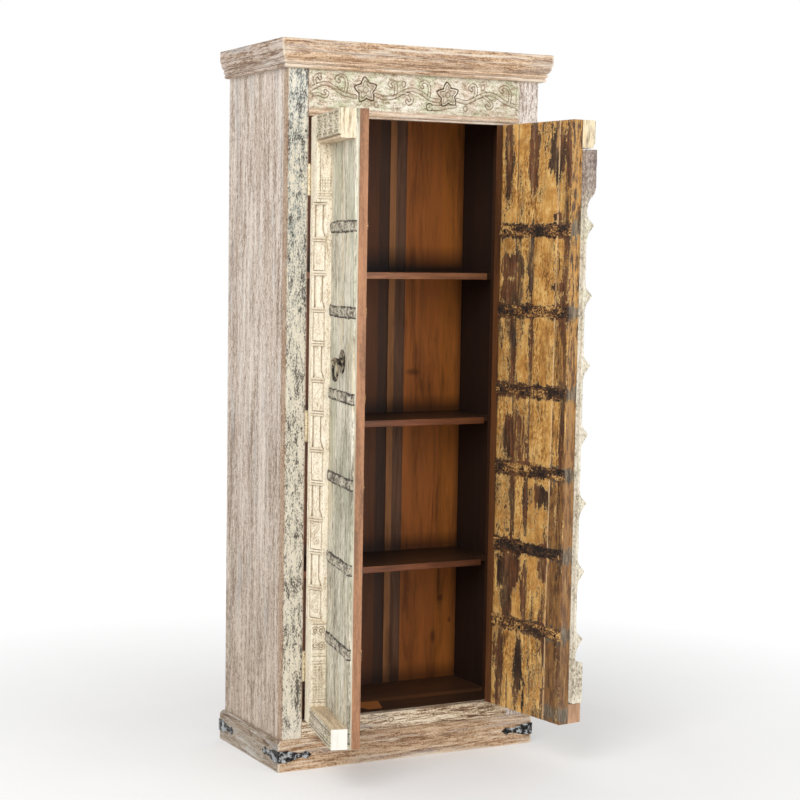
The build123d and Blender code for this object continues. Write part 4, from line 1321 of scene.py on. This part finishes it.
class CABINET_OT_door_stiles(bpy.types.Operator):
    """Carve the units, blocks, dentils and scrolls of both door stiles"""

    bl_idname = "cabinet.door_stiles"
    bl_label = "Door Stiles"

    def panel(self, x, y, centre, height, strength):
        """Frame lines and a small scroll on the panel of one unit."""
        half = splay_width() / 2
        across = half - np.abs(x)
        up = height / 2 - np.abs(y - centre)
        border = np.minimum(across, up)
        lift = 0.0014 - 0.0030 * swell(border - 0.0058, 0.0015) + 0.0003 * uneven(x, y, 0.01, 3)
        points = [(-8, 26), (2, 32), (9, 22), (2, 12), (-7, 2), (-9, -10), (0, -20), (8, -14), (3, -7)]
        scroll = smooth_path([(px / 1000, centre + py / 1000) for px, py in points], 5)
        away = away_from(x, y, scroll)
        return lift + strength * raised(away, 0.0024, 0.0014, 0.0022, 0.0016)

    def dentils(self, x, y, low, high, left, right):
        """Rows of small square teeth."""
        column = np.abs((x / 0.0072) % 1 - 0.5)
        row = np.abs((y / 0.0076) % 1 - 0.5)
        tooth = (column < 0.33) & (row < 0.31)
        inside = (y > low) & (y < high) & (x > left) & (x < right)
        return np.where(inside & tooth, 0.0013, np.where(inside, -0.0006, 0.0))

    def foot_block(self, hand):
        """The carving of the lower block: dentils between two fillets, and volutes over them."""
        size = sizes()

        def relief(x, y):
            v = hand * x - size.hinge_reach
            lift = 0.0002 * uneven(x, y, 0.01, 2)
            lift += self.dentils(v, y, 0.205, 0.292, 0.006, 0.033)
            for level, hand_turn in ((0.385, 1), (0.345, -1)):
                for v0 in (0.011, 0.027):
                    curl = spiral(v0, level, 0.010, 1.6, 0.6, hand_turn)
                    lift += raised(away_from(v, y, curl), 0.0016, 0.0014, 0.002, 0.0014)
            for level in (0.300, 0.198, 0.320, 0.405):
                lift += raised(np.abs(y - level), 0.0026, 0.0018, 0.0022, 0.0012)
            return lift

        return relief

    def head_block(self, hand):
        """The carving of the upper block: two upright lines over rows of dentils."""
        size = sizes()

        def relief(x, y):
            v = hand * x - size.hinge_reach
            lift = 0.0002 * uneven(x, y, 0.01, 4)
            lift += self.dentils(v, y, 1.520, 1.552, 0.010, 0.036)
            for line in (0.009, 0.037):
                lift -= 0.0014 * swell(v - line, 0.0010)
            for level in (1.512, 1.500):
                lift += raised(np.abs(y - level), 0.0026, 0.0018, 0.0022, 0.0012)
            return lift

        return relief

    def front(self, low, high):
        """The flat front of the stile: a cut line along each edge, and scrolls from low to high."""
        size = sizes()

        def relief(x, y):
            u = np.abs(x) - size.leaf_edge
            wide = (y < low) | (y > high)
            last = np.where(wide, size.door_stile, size.splay_start)
            lift = 0.0002 * uneven(x, y, 0.012, 6)
            for line in (0.005, last - 0.005):
                lift -= 0.0013 * swell(u - line, 0.0010)
            wave = size.splay_start / 2 + 0.006 * np.sin(2 * pi * y / (size.unit_pitch / 2))
            lift += np.where(wide, 0, raised(np.abs(u - wave) * 0.7, 0.0018, 0.0010, 0.0018, 0.0008))
            return lift

        return relief

    def execute(self, context):
        size = sizes()
        finish = carved_finish(
            "Carved_Door_Stile", paint(248, 240, 220), paint(240, 229, 206), paint(196, 174, 142),
            paint(122, 96, 70), 0.0, 1.5, 0.55,
        )
        foot = size.unit_head - size.unit_count * size.unit_pitch
        face = size.hinge_reach
        for side, hand in HAND.items():
            body = f"{side}_door"
            wear_on(finish, f"{side}_door_stile")
            half = splay_width() / 2
            pieces = []
            for n in range(size.unit_count):
                top = size.unit_head - n * size.unit_pitch
                low = top - size.unit_pitch
                centre = low + size.unit_panel / 2
                strength = 1.0 if n >= size.unit_count - 2 else 0.5
                pieces.append(board(
                    "panel", -half + 0.003, half - 0.003, low, low + size.unit_panel, 0.0024, 0.0014,
                    lambda x, y, c=centre, s=strength: self.panel(x, y, c, size.unit_panel, s),
                ))
                for level in (top - 0.004, low + size.unit_panel + 0.003, low + size.unit_panel - 0.0035):
                    pieces.append(board(
                        "fillet", -half + 0.001, half - 0.002, level - 0.003, level + 0.003, 0.0006, 0.0015,
                        lambda x, y, c=level: 0.003 * np.sqrt(np.clip(1 - ((y - c) / 0.0034) ** 2, 0, 1)),
                    ))
            units = joined(f"{side.title()}_Stile_Units", pieces)
            settle(units, outward(splay_of_stile(side), 0.0018), body, finish)

            side_plane = inner_side_of_stile(side, size.leaf_edge + size.door_stile + 0.0014)
            inner, outer = hand * (face + 0.0005), hand * (face + size.frame_depth - 0.0005)
            blocks = [
                board("foot", inner, outer, size.door_foot + size.bottom_rail, foot, 0.0020, 0.0016,
                      self.foot_block(hand)),
                board("head", inner, outer, size.unit_head, size.door_head - size.top_rail - 0.009, 0.0020,
                      0.0018, self.head_block(hand)),
            ]
            settle(joined(f"{side.title()}_Stile_Blocks", blocks), side_plane, body, finish)

            start = size.leaf_edge + 0.0005
            stile_end = size.leaf_edge + size.door_stile - 0.0005
            splay_edge = size.leaf_edge + size.splay_start - 0.0005
            fronts = [
                board("front", hand * start, hand * last, low, high, 0.0018, 0.0026, self.front(*narrow))
                for last, low, high, narrow in (
                    (stile_end, size.door_foot + 0.0005, foot, (foot, size.unit_head)),
                    (splay_edge, foot, size.unit_head, (foot - 1, size.unit_head + 1)),
                    (stile_end, size.unit_head, size.door_head - 0.0005, (foot, size.unit_head)),
                )
            ]
            front_plane = front_of_leaf(side, face - 0.0012)
            settle(joined(f"{side.title()}_Stile_Front", fronts), front_plane, body, finish)
        return {"FINISHED"}


class CABINET_OT_door_rails(bpy.types.Operator):
    """Carve the top rails, mould the bottom rails and show their sawn ends"""

    bl_idname = "cabinet.door_rails"
    bl_label = "Door Rails"

    def squares(self, x, y):
        """Square rosettes in a row, each of frames inside frames, between two cut lines."""
        size = sizes()
        pitch = 0.061
        middle = size.door_head - size.top_rail / 2
        cx = (np.abs(x) - size.leaf_edge - size.door_stile) % pitch - pitch / 2
        cy = y - middle
        reach = np.maximum(np.abs(cx), np.abs(cy))
        lift = 0.0003 * uneven(x, y, 0.008, 3)
        for radius in (0.027, 0.018):
            lift += raised(np.abs(reach - radius), 0.0022, 0.0018, 0.0034, 0.0022)
        diamond = np.abs(cx) + np.abs(cy)
        lift += raised(np.abs(diamond - 0.015), 0.0020, 0.0016, 0.0030, 0.0018)
        lift += raised(np.hypot(cx, cy), 0.0050, 0.0024, 0.0030, 0.0020)
        turn = np.arctan2(cy, cx)
        lift += np.where((reach < 0.018) & (diamond > 0.018), 0.0012 * np.cos(8 * turn), 0)
        return lift

    def mouldings(self, x, y):
        """Reeds along the rail, with a worn leaf band between them."""
        size = sizes()
        lift = 0.0003 * uneven(x, y, 0.01, 7)
        for level in (0.006, 0.013, 0.039, 0.046):
            lift += raised(np.abs(y - size.door_foot - level), 0.0028, 0.0018, 0.0018, 0.0012)
        band = y - size.door_foot - 0.026
        wave = 0.006 * np.sin(2 * pi * np.abs(x) / 0.04)
        inside = np.abs(band) < 0.0095
        return lift + np.where(inside, raised(np.abs(band - wave) * 0.8, 0.0018, 0.0014, 0.002, 0.0014), 0)

    def execute(self, context):
        size = sizes()
        finish = carved_finish(
            "Carved_Rails", paint(238, 231, 212), paint(208, 196, 172), paint(150, 132, 106),
            paint(78, 62, 48), 0.4, 3.0, 1.1, (4, 1, 1),
        )
        free = size.leaf_edge + size.leaf_width
        stile = size.leaf_edge + size.door_stile
        for side, hand in HAND.items():
            body = f"{side}_door"
            wear_on(rail_finish(side, "Top"), f"{side}_door_top_rail")
            wear_on(rail_finish(side, "Bottom"), f"{side}_door_bottom_rail")
            top = board(
                "top", hand * (stile + 0.0005), hand * (free - 0.0005),
                size.door_head - size.top_rail + 0.001, size.door_head - 0.0005, 0.0026, 0.0018,
                self.squares,
            )
            settle(top, front_of_leaf(side, size.hinge_reach - 0.002), body, finish)
            top.name = f"{side.title()}_Top_Rail_Carving"
            low = board(
                "low", hand * (stile + 0.0005), hand * (free - 0.0005), size.door_foot + 0.0005,
                size.door_foot + size.bottom_rail - 0.001, 0.0020, 0.0018, self.mouldings,
            )
            settle(low, front_of_leaf(side, size.hinge_reach - 0.0034), body, finish)
            low.name = f"{side.title()}_Bottom_Rail_Moulding"
        return {"FINISHED"}


class CABINET_OT_leaf_boards(bpy.types.Operator):
    """Age the planks, the boards behind them and the smooth lippings of both leaves"""

    bl_idname = "cabinet.leaf_boards"
    bl_label = "Leaf Boards"

    SEAM_SHARES = (0.295, 0.515, 0.83)
    # Bare places of the old paint: middle from the hinge axis, height, half width and half height.
    BARE = (
        (0.058, 1.612, 0.014, 0.096), (0.158, 1.615, 0.014, 0.085), (0.250, 1.636, 0.024, 0.068),
        (0.226, 1.592, 0.010, 0.016), (0.168, 1.655, 0.012, 0.015), (0.262, 1.461, 0.020, 0.008),
        (0.080, 1.330, 0.046, 0.026), (0.156, 1.352, 0.009, 0.066), (0.266, 1.279, 0.019, 0.007),
        (0.080, 1.265, 0.036, 0.030), (0.283, 1.127, 0.013, 0.076), (0.088, 1.112, 0.010, 0.086),
        (0.160, 1.102, 0.009, 0.078), (0.092, 0.877, 0.034, 0.044), (0.099, 0.685, 0.010, 0.083),
        (0.222, 0.729, 0.038, 0.024), (0.154, 0.685, 0.009, 0.076), (0.090, 0.507, 0.034, 0.040),
        (0.078, 0.423, 0.020, 0.034), (0.243, 0.540, 0.024, 0.028), (0.154, 0.476, 0.011, 0.076),
        (0.056, 0.245, 0.016, 0.092), (0.138, 0.262, 0.013, 0.078), (0.255, 0.184, 0.018, 0.048),
        (0.262, 0.313, 0.016, 0.040), (0.296, 1.500, 0.008, 0.160), (0.294, 0.800, 0.008, 0.240),
    )

    TURNED = 1.838  # height of a bare place on one leaf and on the other, added up

    def seam_places(self, y):
        """Where the open joints between the old boards run at each height."""
        size = sizes()
        return [
            size.leaf_edge + size.leaf_width * share + 0.002 * uneven(y * 0 + n, y, 0.15, n)
            for n, share in enumerate(self.SEAM_SHARES)
        ]

    def boards_relief(self, x, y):
        """Open joints between the old boards, and hollows worn beside them."""
        u = np.abs(x)
        lift = 0.0007 * uneven(x, y / 4, 0.03, 5) + 0.0004 * uneven(x, y / 3, 0.008, 9)
        for n, middle in enumerate(self.seam_places(y)):
            open_joint = np.clip(0.5 + 0.9 * uneven(y * 0 + n, y, 0.07, n + 3), 0.1, 1)
            lift -= 0.0026 * open_joint * swell(u - middle, 0.0014)
            lift -= 0.0008 * swell(u - middle, 0.006)
        return lift

    def boards_wear(self, side):
        """How far the paint has gone, from 0 to 1."""

        def wear(x, y):
            u = np.abs(x)
            worn = 0.12 + 0 * u
            for cu, cz, wide, high in self.BARE:
                level = cz if side == "right" else self.TURNED - cz
                far = np.hypot((u - cu) / wide, (y - level) / high)
                worn = np.maximum(worn, np.clip(1.45 - 0.75 * far, 0, 1))
            for n, middle in enumerate(self.seam_places(y)):
                ragged = 0.005 + 0.004 * uneven(y * 0 + n, y, 0.04, n + 7)
                gone = np.clip(0.55 + 0.8 * uneven(y * 0 + n, y, 0.11, n + 9), 0.2, 0.9)
                worn = np.maximum(worn, gone * swell(u - middle, ragged))
            for level in strap_levels():
                away = np.abs(y - level) - sizes().strap_height / 2
                worn = np.maximum(worn, 0.75 * swell(np.clip(away, 0, 1), 0.008))
            return worn

        return wear

    def execute(self, context):
        size = sizes()
        free = size.leaf_edge + size.leaf_width
        back = size.hinge_reach + size.frame_depth + size.plank + size.backing
        tint = colours()
        wood = lipping_finish("Smooth_Lippings", tint.lipping)
        wear_on(wood, "left_door_hinge_lipping", "left_door_free_lipping")
        # The right leaf's hinge lipping is given painted shade.
        wear_on(lipping_finish("Shaded_Lipping", tint.lipping_shaded), "right_door_hinge_lipping")
        for side, hand in HAND.items():
            body = f"{side}_door"
            wear_on(plank_finish(side), f"{side}_door_planks")
            start = size.leaf_edge + size.lipping
            end = free
            if side == "left":
                end = free - size.lipping
            boards = board(
                f"{side.title()}_Old_Boards", -hand * start, -hand * end, size.door_foot, size.door_head,
                size.backing, 0.0034, self.boards_relief, arris=0.0022, wear=self.boards_wear(side),
            )
            finish = old_back_finish(side)
            settle(boards, back_of_leaf(side, back), body, finish, smooth=50)
            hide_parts(f"{side}_door_backing")
        return {"FINISHED"}


def nail(x, y, rise, radius, seed):
    """A hand-made nail head, a low dome with uneven facets."""
    deselect()
    bpy.ops.mesh.primitive_uv_sphere_add(segments=10, ring_count=6, radius=1, location=(0, 0, 0))
    head = bpy.context.object
    places = points_of(head)
    turn = np.arctan2(places[:, 1], places[:, 0])
    places[:, 0:2] *= radius * (1 + 0.12 * np.sin(3 * turn + seed))[:, None]
    places[:, 2] *= rise
    move_points(head, places + (x, y, 0))
    return head


class CABINET_OT_straps(bpy.types.Operator):
    """Beat the iron straps of both faces of the leaves and drive their nails"""

    bl_idname = "cabinet.straps"
    bl_label = "Straps"

    def beaten(self, level, seed, rough, dome, flat_from=1.0):
        """A beaten band, thicker along its middle and flat from a place near its end on."""
        half = sizes().strap_height / 2

        def relief(x, y):
            rise = dome * np.sqrt(np.clip(1 - ((y - level) / half) ** 2, 0, 1))
            rise += rough * (uneven(x, y, 0.02, seed, 2) + 0.9 * uneven(x, y, 0.007, seed + 4, 2))
            return rise * np.clip((flat_from - np.abs(x)) / 0.006, 0, 1)

        return relief

    def nails(self, x0, x1, shares, sway, beat, step, rise, radius):
        """Nails along each strap, at these shares of the way and a little out of line."""
        return [
            nail(x0 + (x1 - x0) * share, level + sway * sin(n * beat + k), rise, radius, n + step * k)
            for n, level in enumerate(strap_levels())
            for k, share in enumerate(shares)
        ]

    def edges(self, level, start):
        """How dark each band is: paint gone along both long edges, darker along the lower edge as painted
        shadow, and dark by the stile.
        """
        half = sizes().strap_height / 2

        def wear(x, y):
            away = half - np.abs(y - level)
            # Painted shadow: the lower edge is darkened more than the upper one.
            strong = np.where(y < level, 1.5, 1.15)
            worn = strong * swell(away, 0.0052) * (0.6 + 0.8 * uneven(x, y, 0.018, 2))
            near = np.abs(x - start) / 0.007 + 0.5 * uneven(x, y, 0.01, 8)
            return np.maximum(worn, np.exp(-(near**2)))

        return wear

    def execute(self, context):
        size = sizes()
        half = size.strap_height / 2
        free = size.leaf_edge + size.leaf_width
        planks = size.hinge_reach + size.frame_depth
        back = planks + size.plank + size.backing
        front_finish = painted_strap_finish()
        nail_finish = hammered_iron("Black_Nails", 0.6, 0.4, paint(110, 96, 80))
        for side, hand in HAND.items():
            body = f"{side}_door"
            start = size.leaf_edge + size.door_stile
            end = free if side == "left" else size.astragal_start
            bands = [
                board(
                    "band", hand * start, hand * end, level - half, level + half,
                    size.strap_thickness - 0.0005, 0.0022,
                    self.beaten(level, n, 0.0012, 0.0026, free - 0.006), arris=0.0010, wander=0.0022,
                    wear=self.edges(level, hand * start),
                )
                for n, level in enumerate(strap_levels())
            ]
            bands = joined(f"{side.title()}_Front_Straps", bands)
            place = front_of_leaf(side, planks - size.strap_thickness + 0.0007)
            settle(bands, place, body, front_finish)
            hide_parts(f"{side}_door_front_straps")
            first = size.leaf_edge + size.lipping
            bands = [
                board(
                    "band", -hand * first, -hand * free, level - half, level + half,
                    size.strap_thickness - 0.0005, 0.0024, self.beaten(level, n + 20, 0.0012, 0.0010),
                    arris=0.0012, wander=0.0020,
                )
                for n, level in enumerate(strap_levels())
            ]
            bands = joined(f"{side.title()}_Back_Straps", bands)
            place = back_of_leaf(side, back + size.strap_thickness - 0.0009)
            settle(bands, place, body, old_strap_finish(side))
            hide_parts(f"{side}_door_back_straps")

            shares = (0.07, 0.36, 0.66, 0.94)
            heads = self.nails(hand * start, hand * end, shares, 0.004, 3, 1, 0.0028, 0.0052)
            heads = joined(f"{side.title()}_Front_Nails", heads)
            place = front_of_leaf(side, planks - size.strap_thickness + 0.0004)
            settle(heads, place, body, front_finish)
            shares = (0.08, 0.42, 0.93)
            heads = self.nails(-hand * first, -hand * free, shares, 0.005, 2, -1, 0.0026, 0.0056)
            heads = joined(f"{side.title()}_Back_Nails", heads)
            place = back_of_leaf(side, back + size.strap_thickness - 0.0006)
            settle(heads, place, body, nail_finish)
        return {"FINISHED"}


class CABINET_OT_pulls(bpy.types.Operator):
    """Twist the rings of the pulls and blacken their plates"""

    bl_idname = "cabinet.pulls"
    bl_label = "Ring Pulls"

    def execute(self, context):
        size = sizes()
        # The pale rubbed colour of the pulls partly stands for painted highlights on the plates.
        finish = hammered_iron("Pull_Iron", 0.7, 0.07, paint(166, 152, 126), paint(76, 68, 56))
        for side in HAND:
            wear_on(finish, f"{side}_pull_plate", f"{side}_pull_boss")
            joint = joints[f"{side}_ring_hinge"]
            deselect()
            bpy.ops.mesh.primitive_torus_add(
                major_segments=144, minor_segments=16, major_radius=size.ring_radius,
                minor_radius=size.ring_bar,
            )
            ring = bpy.context.object
            ring.name = f"{side.title()}_Twisted_Ring"
            places = points_of(ring)
            x, y, z = places.T
            way = np.arctan2(y, x)
            out = np.hypot(x, y) - size.ring_radius
            around = np.arctan2(z, out)
            lower = np.clip((0.55 - np.sin(way)) / 0.35, 0, 1)
            bar = size.ring_bar * (1 - lower * 0.16 * (1 - np.cos(4 * (around + 7 * way))) / 2 * 1.4)
            reach = size.ring_radius + bar * np.cos(around)
            move_points(
                ring, np.stack((reach * np.cos(way), reach * np.sin(way), bar * np.sin(around)), axis=1),
            )
            axis = Vector(joint["axis"])
            centre = Vector(joint["pos_m"]) - Vector((0, 0, size.ring_radius))
            up = Vector((0, 0, 1))
            place = Matrix((axis, up, axis.cross(up))).transposed().to_4x4()
            place.translation = centre
            settle(ring, place, f"{side}_ring", finish, smooth=60)
            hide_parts(f"{side}_pull_ring")
        return {"FINISHED"}


class CABINET_OT_irons(bpy.types.Operator):
    """Blacken the corner irons, give the hinges worn brass and nail the irons to the plinth"""

    bl_idname = "cabinet.irons"
    bl_label = "Corner Irons and Hinges"

    def execute(self, context):
        size = sizes()
        tint = colours()
        # The pale grey rubbed colour of the irons partly stands for painted reflections.
        iron = hammered_iron("Corner_Iron", 0.75, 0.12, paint(176, 180, 182))
        made = Finish("Hinge_Brass", roughness=0.45, metallic=0.6)
        flakes = made.grain(0, 1, 260, 5, 0.7)
        base = made.ramp(flakes, (0.35, tint.rust), (0.46, tint.brass), (0.6, paint(232, 222, 198)))
        brass = made.done(base, flakes, 0.0006, 0.5)
        for side in HAND:
            wear_on(brass, f"{side}_frame_hinges", f"{side}_door_hinges", f"{side}_hinge_pins")
            for row in ("front", "back"):
                wear_on(iron, f"corner_strap_{row}_{side}")
        wide = size.half_width + size.plinth_overhang
        deep = size.carcass_depth
        rows = {
            "Front": (Vector((0, -1, 0)), size.plinth_overhang, (-wide, wide)),
            "Left": (Vector((-1, 0, 0)), wide, (-deep, size.plinth_overhang)),
            "Right": (Vector((1, 0, 0)), wide, (-size.plinth_overhang, deep)),
        }
        for face, (facing, out, (first, last)) in rows.items():
            across = Vector((0, 0, 1)).cross(facing)
            heads = []
            for k, share in enumerate((0.15, 0.83)):
                step = size.iron_reach * share
                for end in (first + step, last - step):
                    heads.append(nail(end, size.iron_level, 0.0018, 0.0042, k + out))
            heads = joined(f"{face}_Iron_Nails", heads)
            place = face_matrix(facing * (out + size.strap_thickness - 0.0002), across, facing)
            settle(heads, place, "cabinet", iron)
        return {"FINISHED"}


class CABINET_OT_astragal(bpy.types.Operator):
    """Age the bossed cover strip of the right leaf"""

    bl_idname = "cabinet.astragal"
    bl_label = "Astragal"

    def execute(self, context):
        made = Finish("Astragal", roughness=0.82)
        grain = made.grain(0, 1.5, 170, 8, 0.78)
        patch = made.grain(0, 2, 22, 5, 0.66)
        height = made.at("Z")
        tone = made.spread((grain, 1.4), (patch, 0.8))
        base = made.ramp(
            tone, (0.25, paint(112, 100, 84)), (0.36, paint(172, 160, 138)), (0.48, paint(216, 206, 184)),
            (0.66, paint(238, 231, 214)),
        )
        tinted = made.between(made.grain(4, 1, 17, 5, 0.66), 0.52, 0.62)
        base = made.lay(base, colours().pale_green, 0.2, tinted, blend="MULTIPLY")
        # Above about 1.51 m the strip turns darker and duller.
        high = made.between(made.times(patch, 0.12, height), 1.51, 1.60)
        darker_part = made.ramp(
            tone, (0.3, paint(104, 88, 84)), (0.5, paint(150, 134, 124)), (0.7, paint(206, 194, 178)),
        )
        base = made.mix(high, base, darker_part)
        # Painted shade: the creases of the strip darkened.
        base = made.lay(base, paint(70, 56, 42), 0.7, made.crevice(0.012, 0.2, 0.6))
        finish = made.done(base, made.spread((grain, 1.5)), 0.002, 0.9)

        whole = frame["nodes"]["right_door_astragal"]
        strip = bpy.data.objects.new("Aged_Astragal", whole.data.copy())
        context.scene.collection.objects.link(strip)
        strip.data.transform(whole.matrix_world)
        take_up(strip)
        bpy.ops.object.mode_set(mode="EDIT")
        bpy.ops.mesh.select_all(action="SELECT")
        bpy.ops.mesh.remove_doubles(threshold=0.00001)
        bpy.ops.object.mode_set(mode="OBJECT")
        grid = strip.modifiers.new("Even", "REMESH")
        grid.mode = "VOXEL"
        grid.voxel_size = 0.0026
        bpy.ops.object.modifier_apply(modifier="Even")
        places = points_of(strip)
        normals = np.empty(len(places) * 3)
        strip.data.vertices.foreach_get("normal", normals)
        x, y, z = places.T
        coarse = uneven(x + y, z, 0.012, 4) + 0.8 * uneven(x - y, z, 0.004, 6, 2)
        move_points(strip, places + normals.reshape(-1, 3) * (-0.0009 - 0.0008 * coarse)[:, None])
        settle(strip, Matrix(), "right_door", finish, smooth=50)
        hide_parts("right_door_astragal")
        return {"FINISHED"}


class CABINET_OT_stage(bpy.types.Operator):
    """Lay the floor and set the lights and the camera"""

    bl_idname = "cabinet.stage"
    bl_label = "Stage"

    camera_place: bpy.props.FloatVectorProperty(
        name="Camera Place", default=(-2.40507, -4.28854, 1.34008), subtype="TRANSLATION",
        description="Where the camera stands",
    )
    camera_yaw: angle("Yaw", 0.4508, "Turn to the right")
    camera_pitch: angle("Pitch", -0.0993, "Tilt up")
    camera_roll: angle("Roll", 0.0114, "Roll")
    camera_lens: bpy.props.FloatProperty(name="Lens", default=82.785, description="Focal length in mm")
    camera_shift: bpy.props.FloatVectorProperty(
        name="Shift", default=(0.1244, 0.0548), size=2, description="Lens shift, as a share of the picture"
    )

    def floor(self):
        """A white floor that shines by itself away from the cabinet."""
        deselect()
        bpy.ops.mesh.primitive_plane_add(size=14, location=(0, 0, -0.0005))
        floor = bpy.context.object
        floor.name = "Floor"
        made = Finish("Floor_Paint", roughness=0.9)
        soft = made.grain(0, 1, 3, 2, 0.5)
        paper = made.ramp(soft, (0.3, (0.93, 0.93, 0.93)), (0.7, (0.95, 0.95, 0.95)))
        glow = made.times(made.between(made.distance(), 0.8, 2.4), 0.82, 0.18)
        made.done(made.mix(glow, paper, (0.0, 0.0, 0.0)))
        made.feed(made.shader.inputs["Emission Color"], (1.0, 1.0, 1.0))
        made.feed(made.shader.inputs["Emission Strength"], glow)
        floor.data.materials.append(made.material)
        return floor

    def softbox(self, name, place, aim, size, power, tint=(1, 1, 1)):
        """A soft light aimed at a place."""
        light = bpy.data.lights.new(name, "AREA")
        light.shape = "RECTANGLE"
        light.size, light.size_y = size
        light.energy = power
        light.color = tint
        lamp = bpy.data.objects.new(name, light)
        lamp.location = place
        lamp.rotation_euler = (Vector(aim) - Vector(place)).to_track_quat("-Z", "Y").to_euler()
        bpy.context.scene.collection.objects.link(lamp)

    def world(self, context):
        """White surroundings, a little darker where they only give light."""
        world = bpy.data.worlds.new("Studio")
        context.scene.world = world
        world.use_nodes = True
        tree = world.node_tree
        back = tree.nodes["Background"]
        seen = tree.nodes.new("ShaderNodeLightPath")
        direct = seen.outputs["Is Camera Ray"]
        for ray in ("Is Glossy Ray", "Is Transmission Ray"):
            either = tree.nodes.new("ShaderNodeMath")
            either.operation = "MAXIMUM"
            tree.links.new(direct, either.inputs[0])
            tree.links.new(seen.outputs[ray], either.inputs[1])
            direct = either.outputs[0]
        level = tree.nodes.new("ShaderNodeMapRange")
        level.inputs["To Min"].default_value = 0.62
        level.inputs["To Max"].default_value = 1.0
        tree.links.new(direct, level.inputs["Value"])
        tree.links.new(level.outputs["Result"], back.inputs["Strength"])
        back.inputs["Color"].default_value = (1, 1, 1, 1)

    def camera(self, context):
        """The camera, turned right, tilted up and rolled."""
        camera = bpy.data.objects.new("Camera", bpy.data.cameras.new("Camera"))
        yaw, pitch, roll = self.camera_yaw, self.camera_pitch, self.camera_roll
        forward = Vector((sin(yaw) * cos(pitch), cos(yaw) * cos(pitch), sin(pitch)))
        level = Vector((cos(yaw), -sin(yaw), 0))
        above = level.cross(forward)
        right = level * cos(roll) + above * sin(roll)
        up = above * cos(roll) - level * sin(roll)
        matrix = Matrix((right, up, -forward)).transposed().to_4x4()
        matrix.translation = Vector(self.camera_place)
        camera.matrix_world = matrix
        camera.data.sensor_width = 36
        camera.data.lens = self.camera_lens
        camera.data.shift_x, camera.data.shift_y = self.camera_shift
        camera.data.clip_end = 60
        context.scene.collection.objects.link(camera)
        context.scene.camera = camera

    def execute(self, context):
        self.floor()
        self.world(context)
        self.softbox("Key", (-3.2, -3.0, 3.0), (0, 0, 0.9), (2.4, 2.6), 130)
        self.softbox("Fill", (2.2, -4.6, 1.8), (0, 0, 0.9), (2.2, 2.6), 60)
        self.camera(context)
        context.scene.view_settings.view_transform = "Standard"
        return {"FINISHED"}


class CABINET_PT_sidebar(bpy.types.Panel):
    """Lists the steps that dress the cabinet"""

    bl_label = "Reclaimed Door Cabinet"
    bl_idname = "CABINET_PT_sidebar"
    bl_space_type = "VIEW_3D"
    bl_region_type = "UI"
    bl_category = "Cabinet"

    def draw(self, context):
        for step in STEPS:
            self.layout.operator(step.bl_idname)


STEPS = (
    CABINET_OT_carcass,
    CABINET_OT_bottom_rail,
    CABINET_OT_frieze,
    CABINET_OT_door_stiles,
    CABINET_OT_door_rails,
    CABINET_OT_leaf_boards,
    CABINET_OT_straps,
    CABINET_OT_pulls,
    CABINET_OT_irons,
    CABINET_OT_astragal,
    CABINET_OT_stage,
)
CLASSES = (CabinetSizes, CabinetColours, *STEPS, CABINET_PT_sidebar)


def register():
    for item in CLASSES:
        bpy.utils.register_class(item)
    bpy.types.Scene.cabinet_sizes = bpy.props.PointerProperty(type=CabinetSizes)
    bpy.types.Scene.cabinet_colours = bpy.props.PointerProperty(type=CabinetColours)


def unregister():
    del bpy.types.Scene.cabinet_colours
    del bpy.types.Scene.cabinet_sizes
    for item in reversed(CLASSES):
        bpy.utils.unregister_class(item)


def main():
    register()
    for step in STEPS:
        group, name = step.bl_idname.split(".")
        getattr(getattr(bpy.ops, group), name)()


if __name__ == "__main__":
    main()
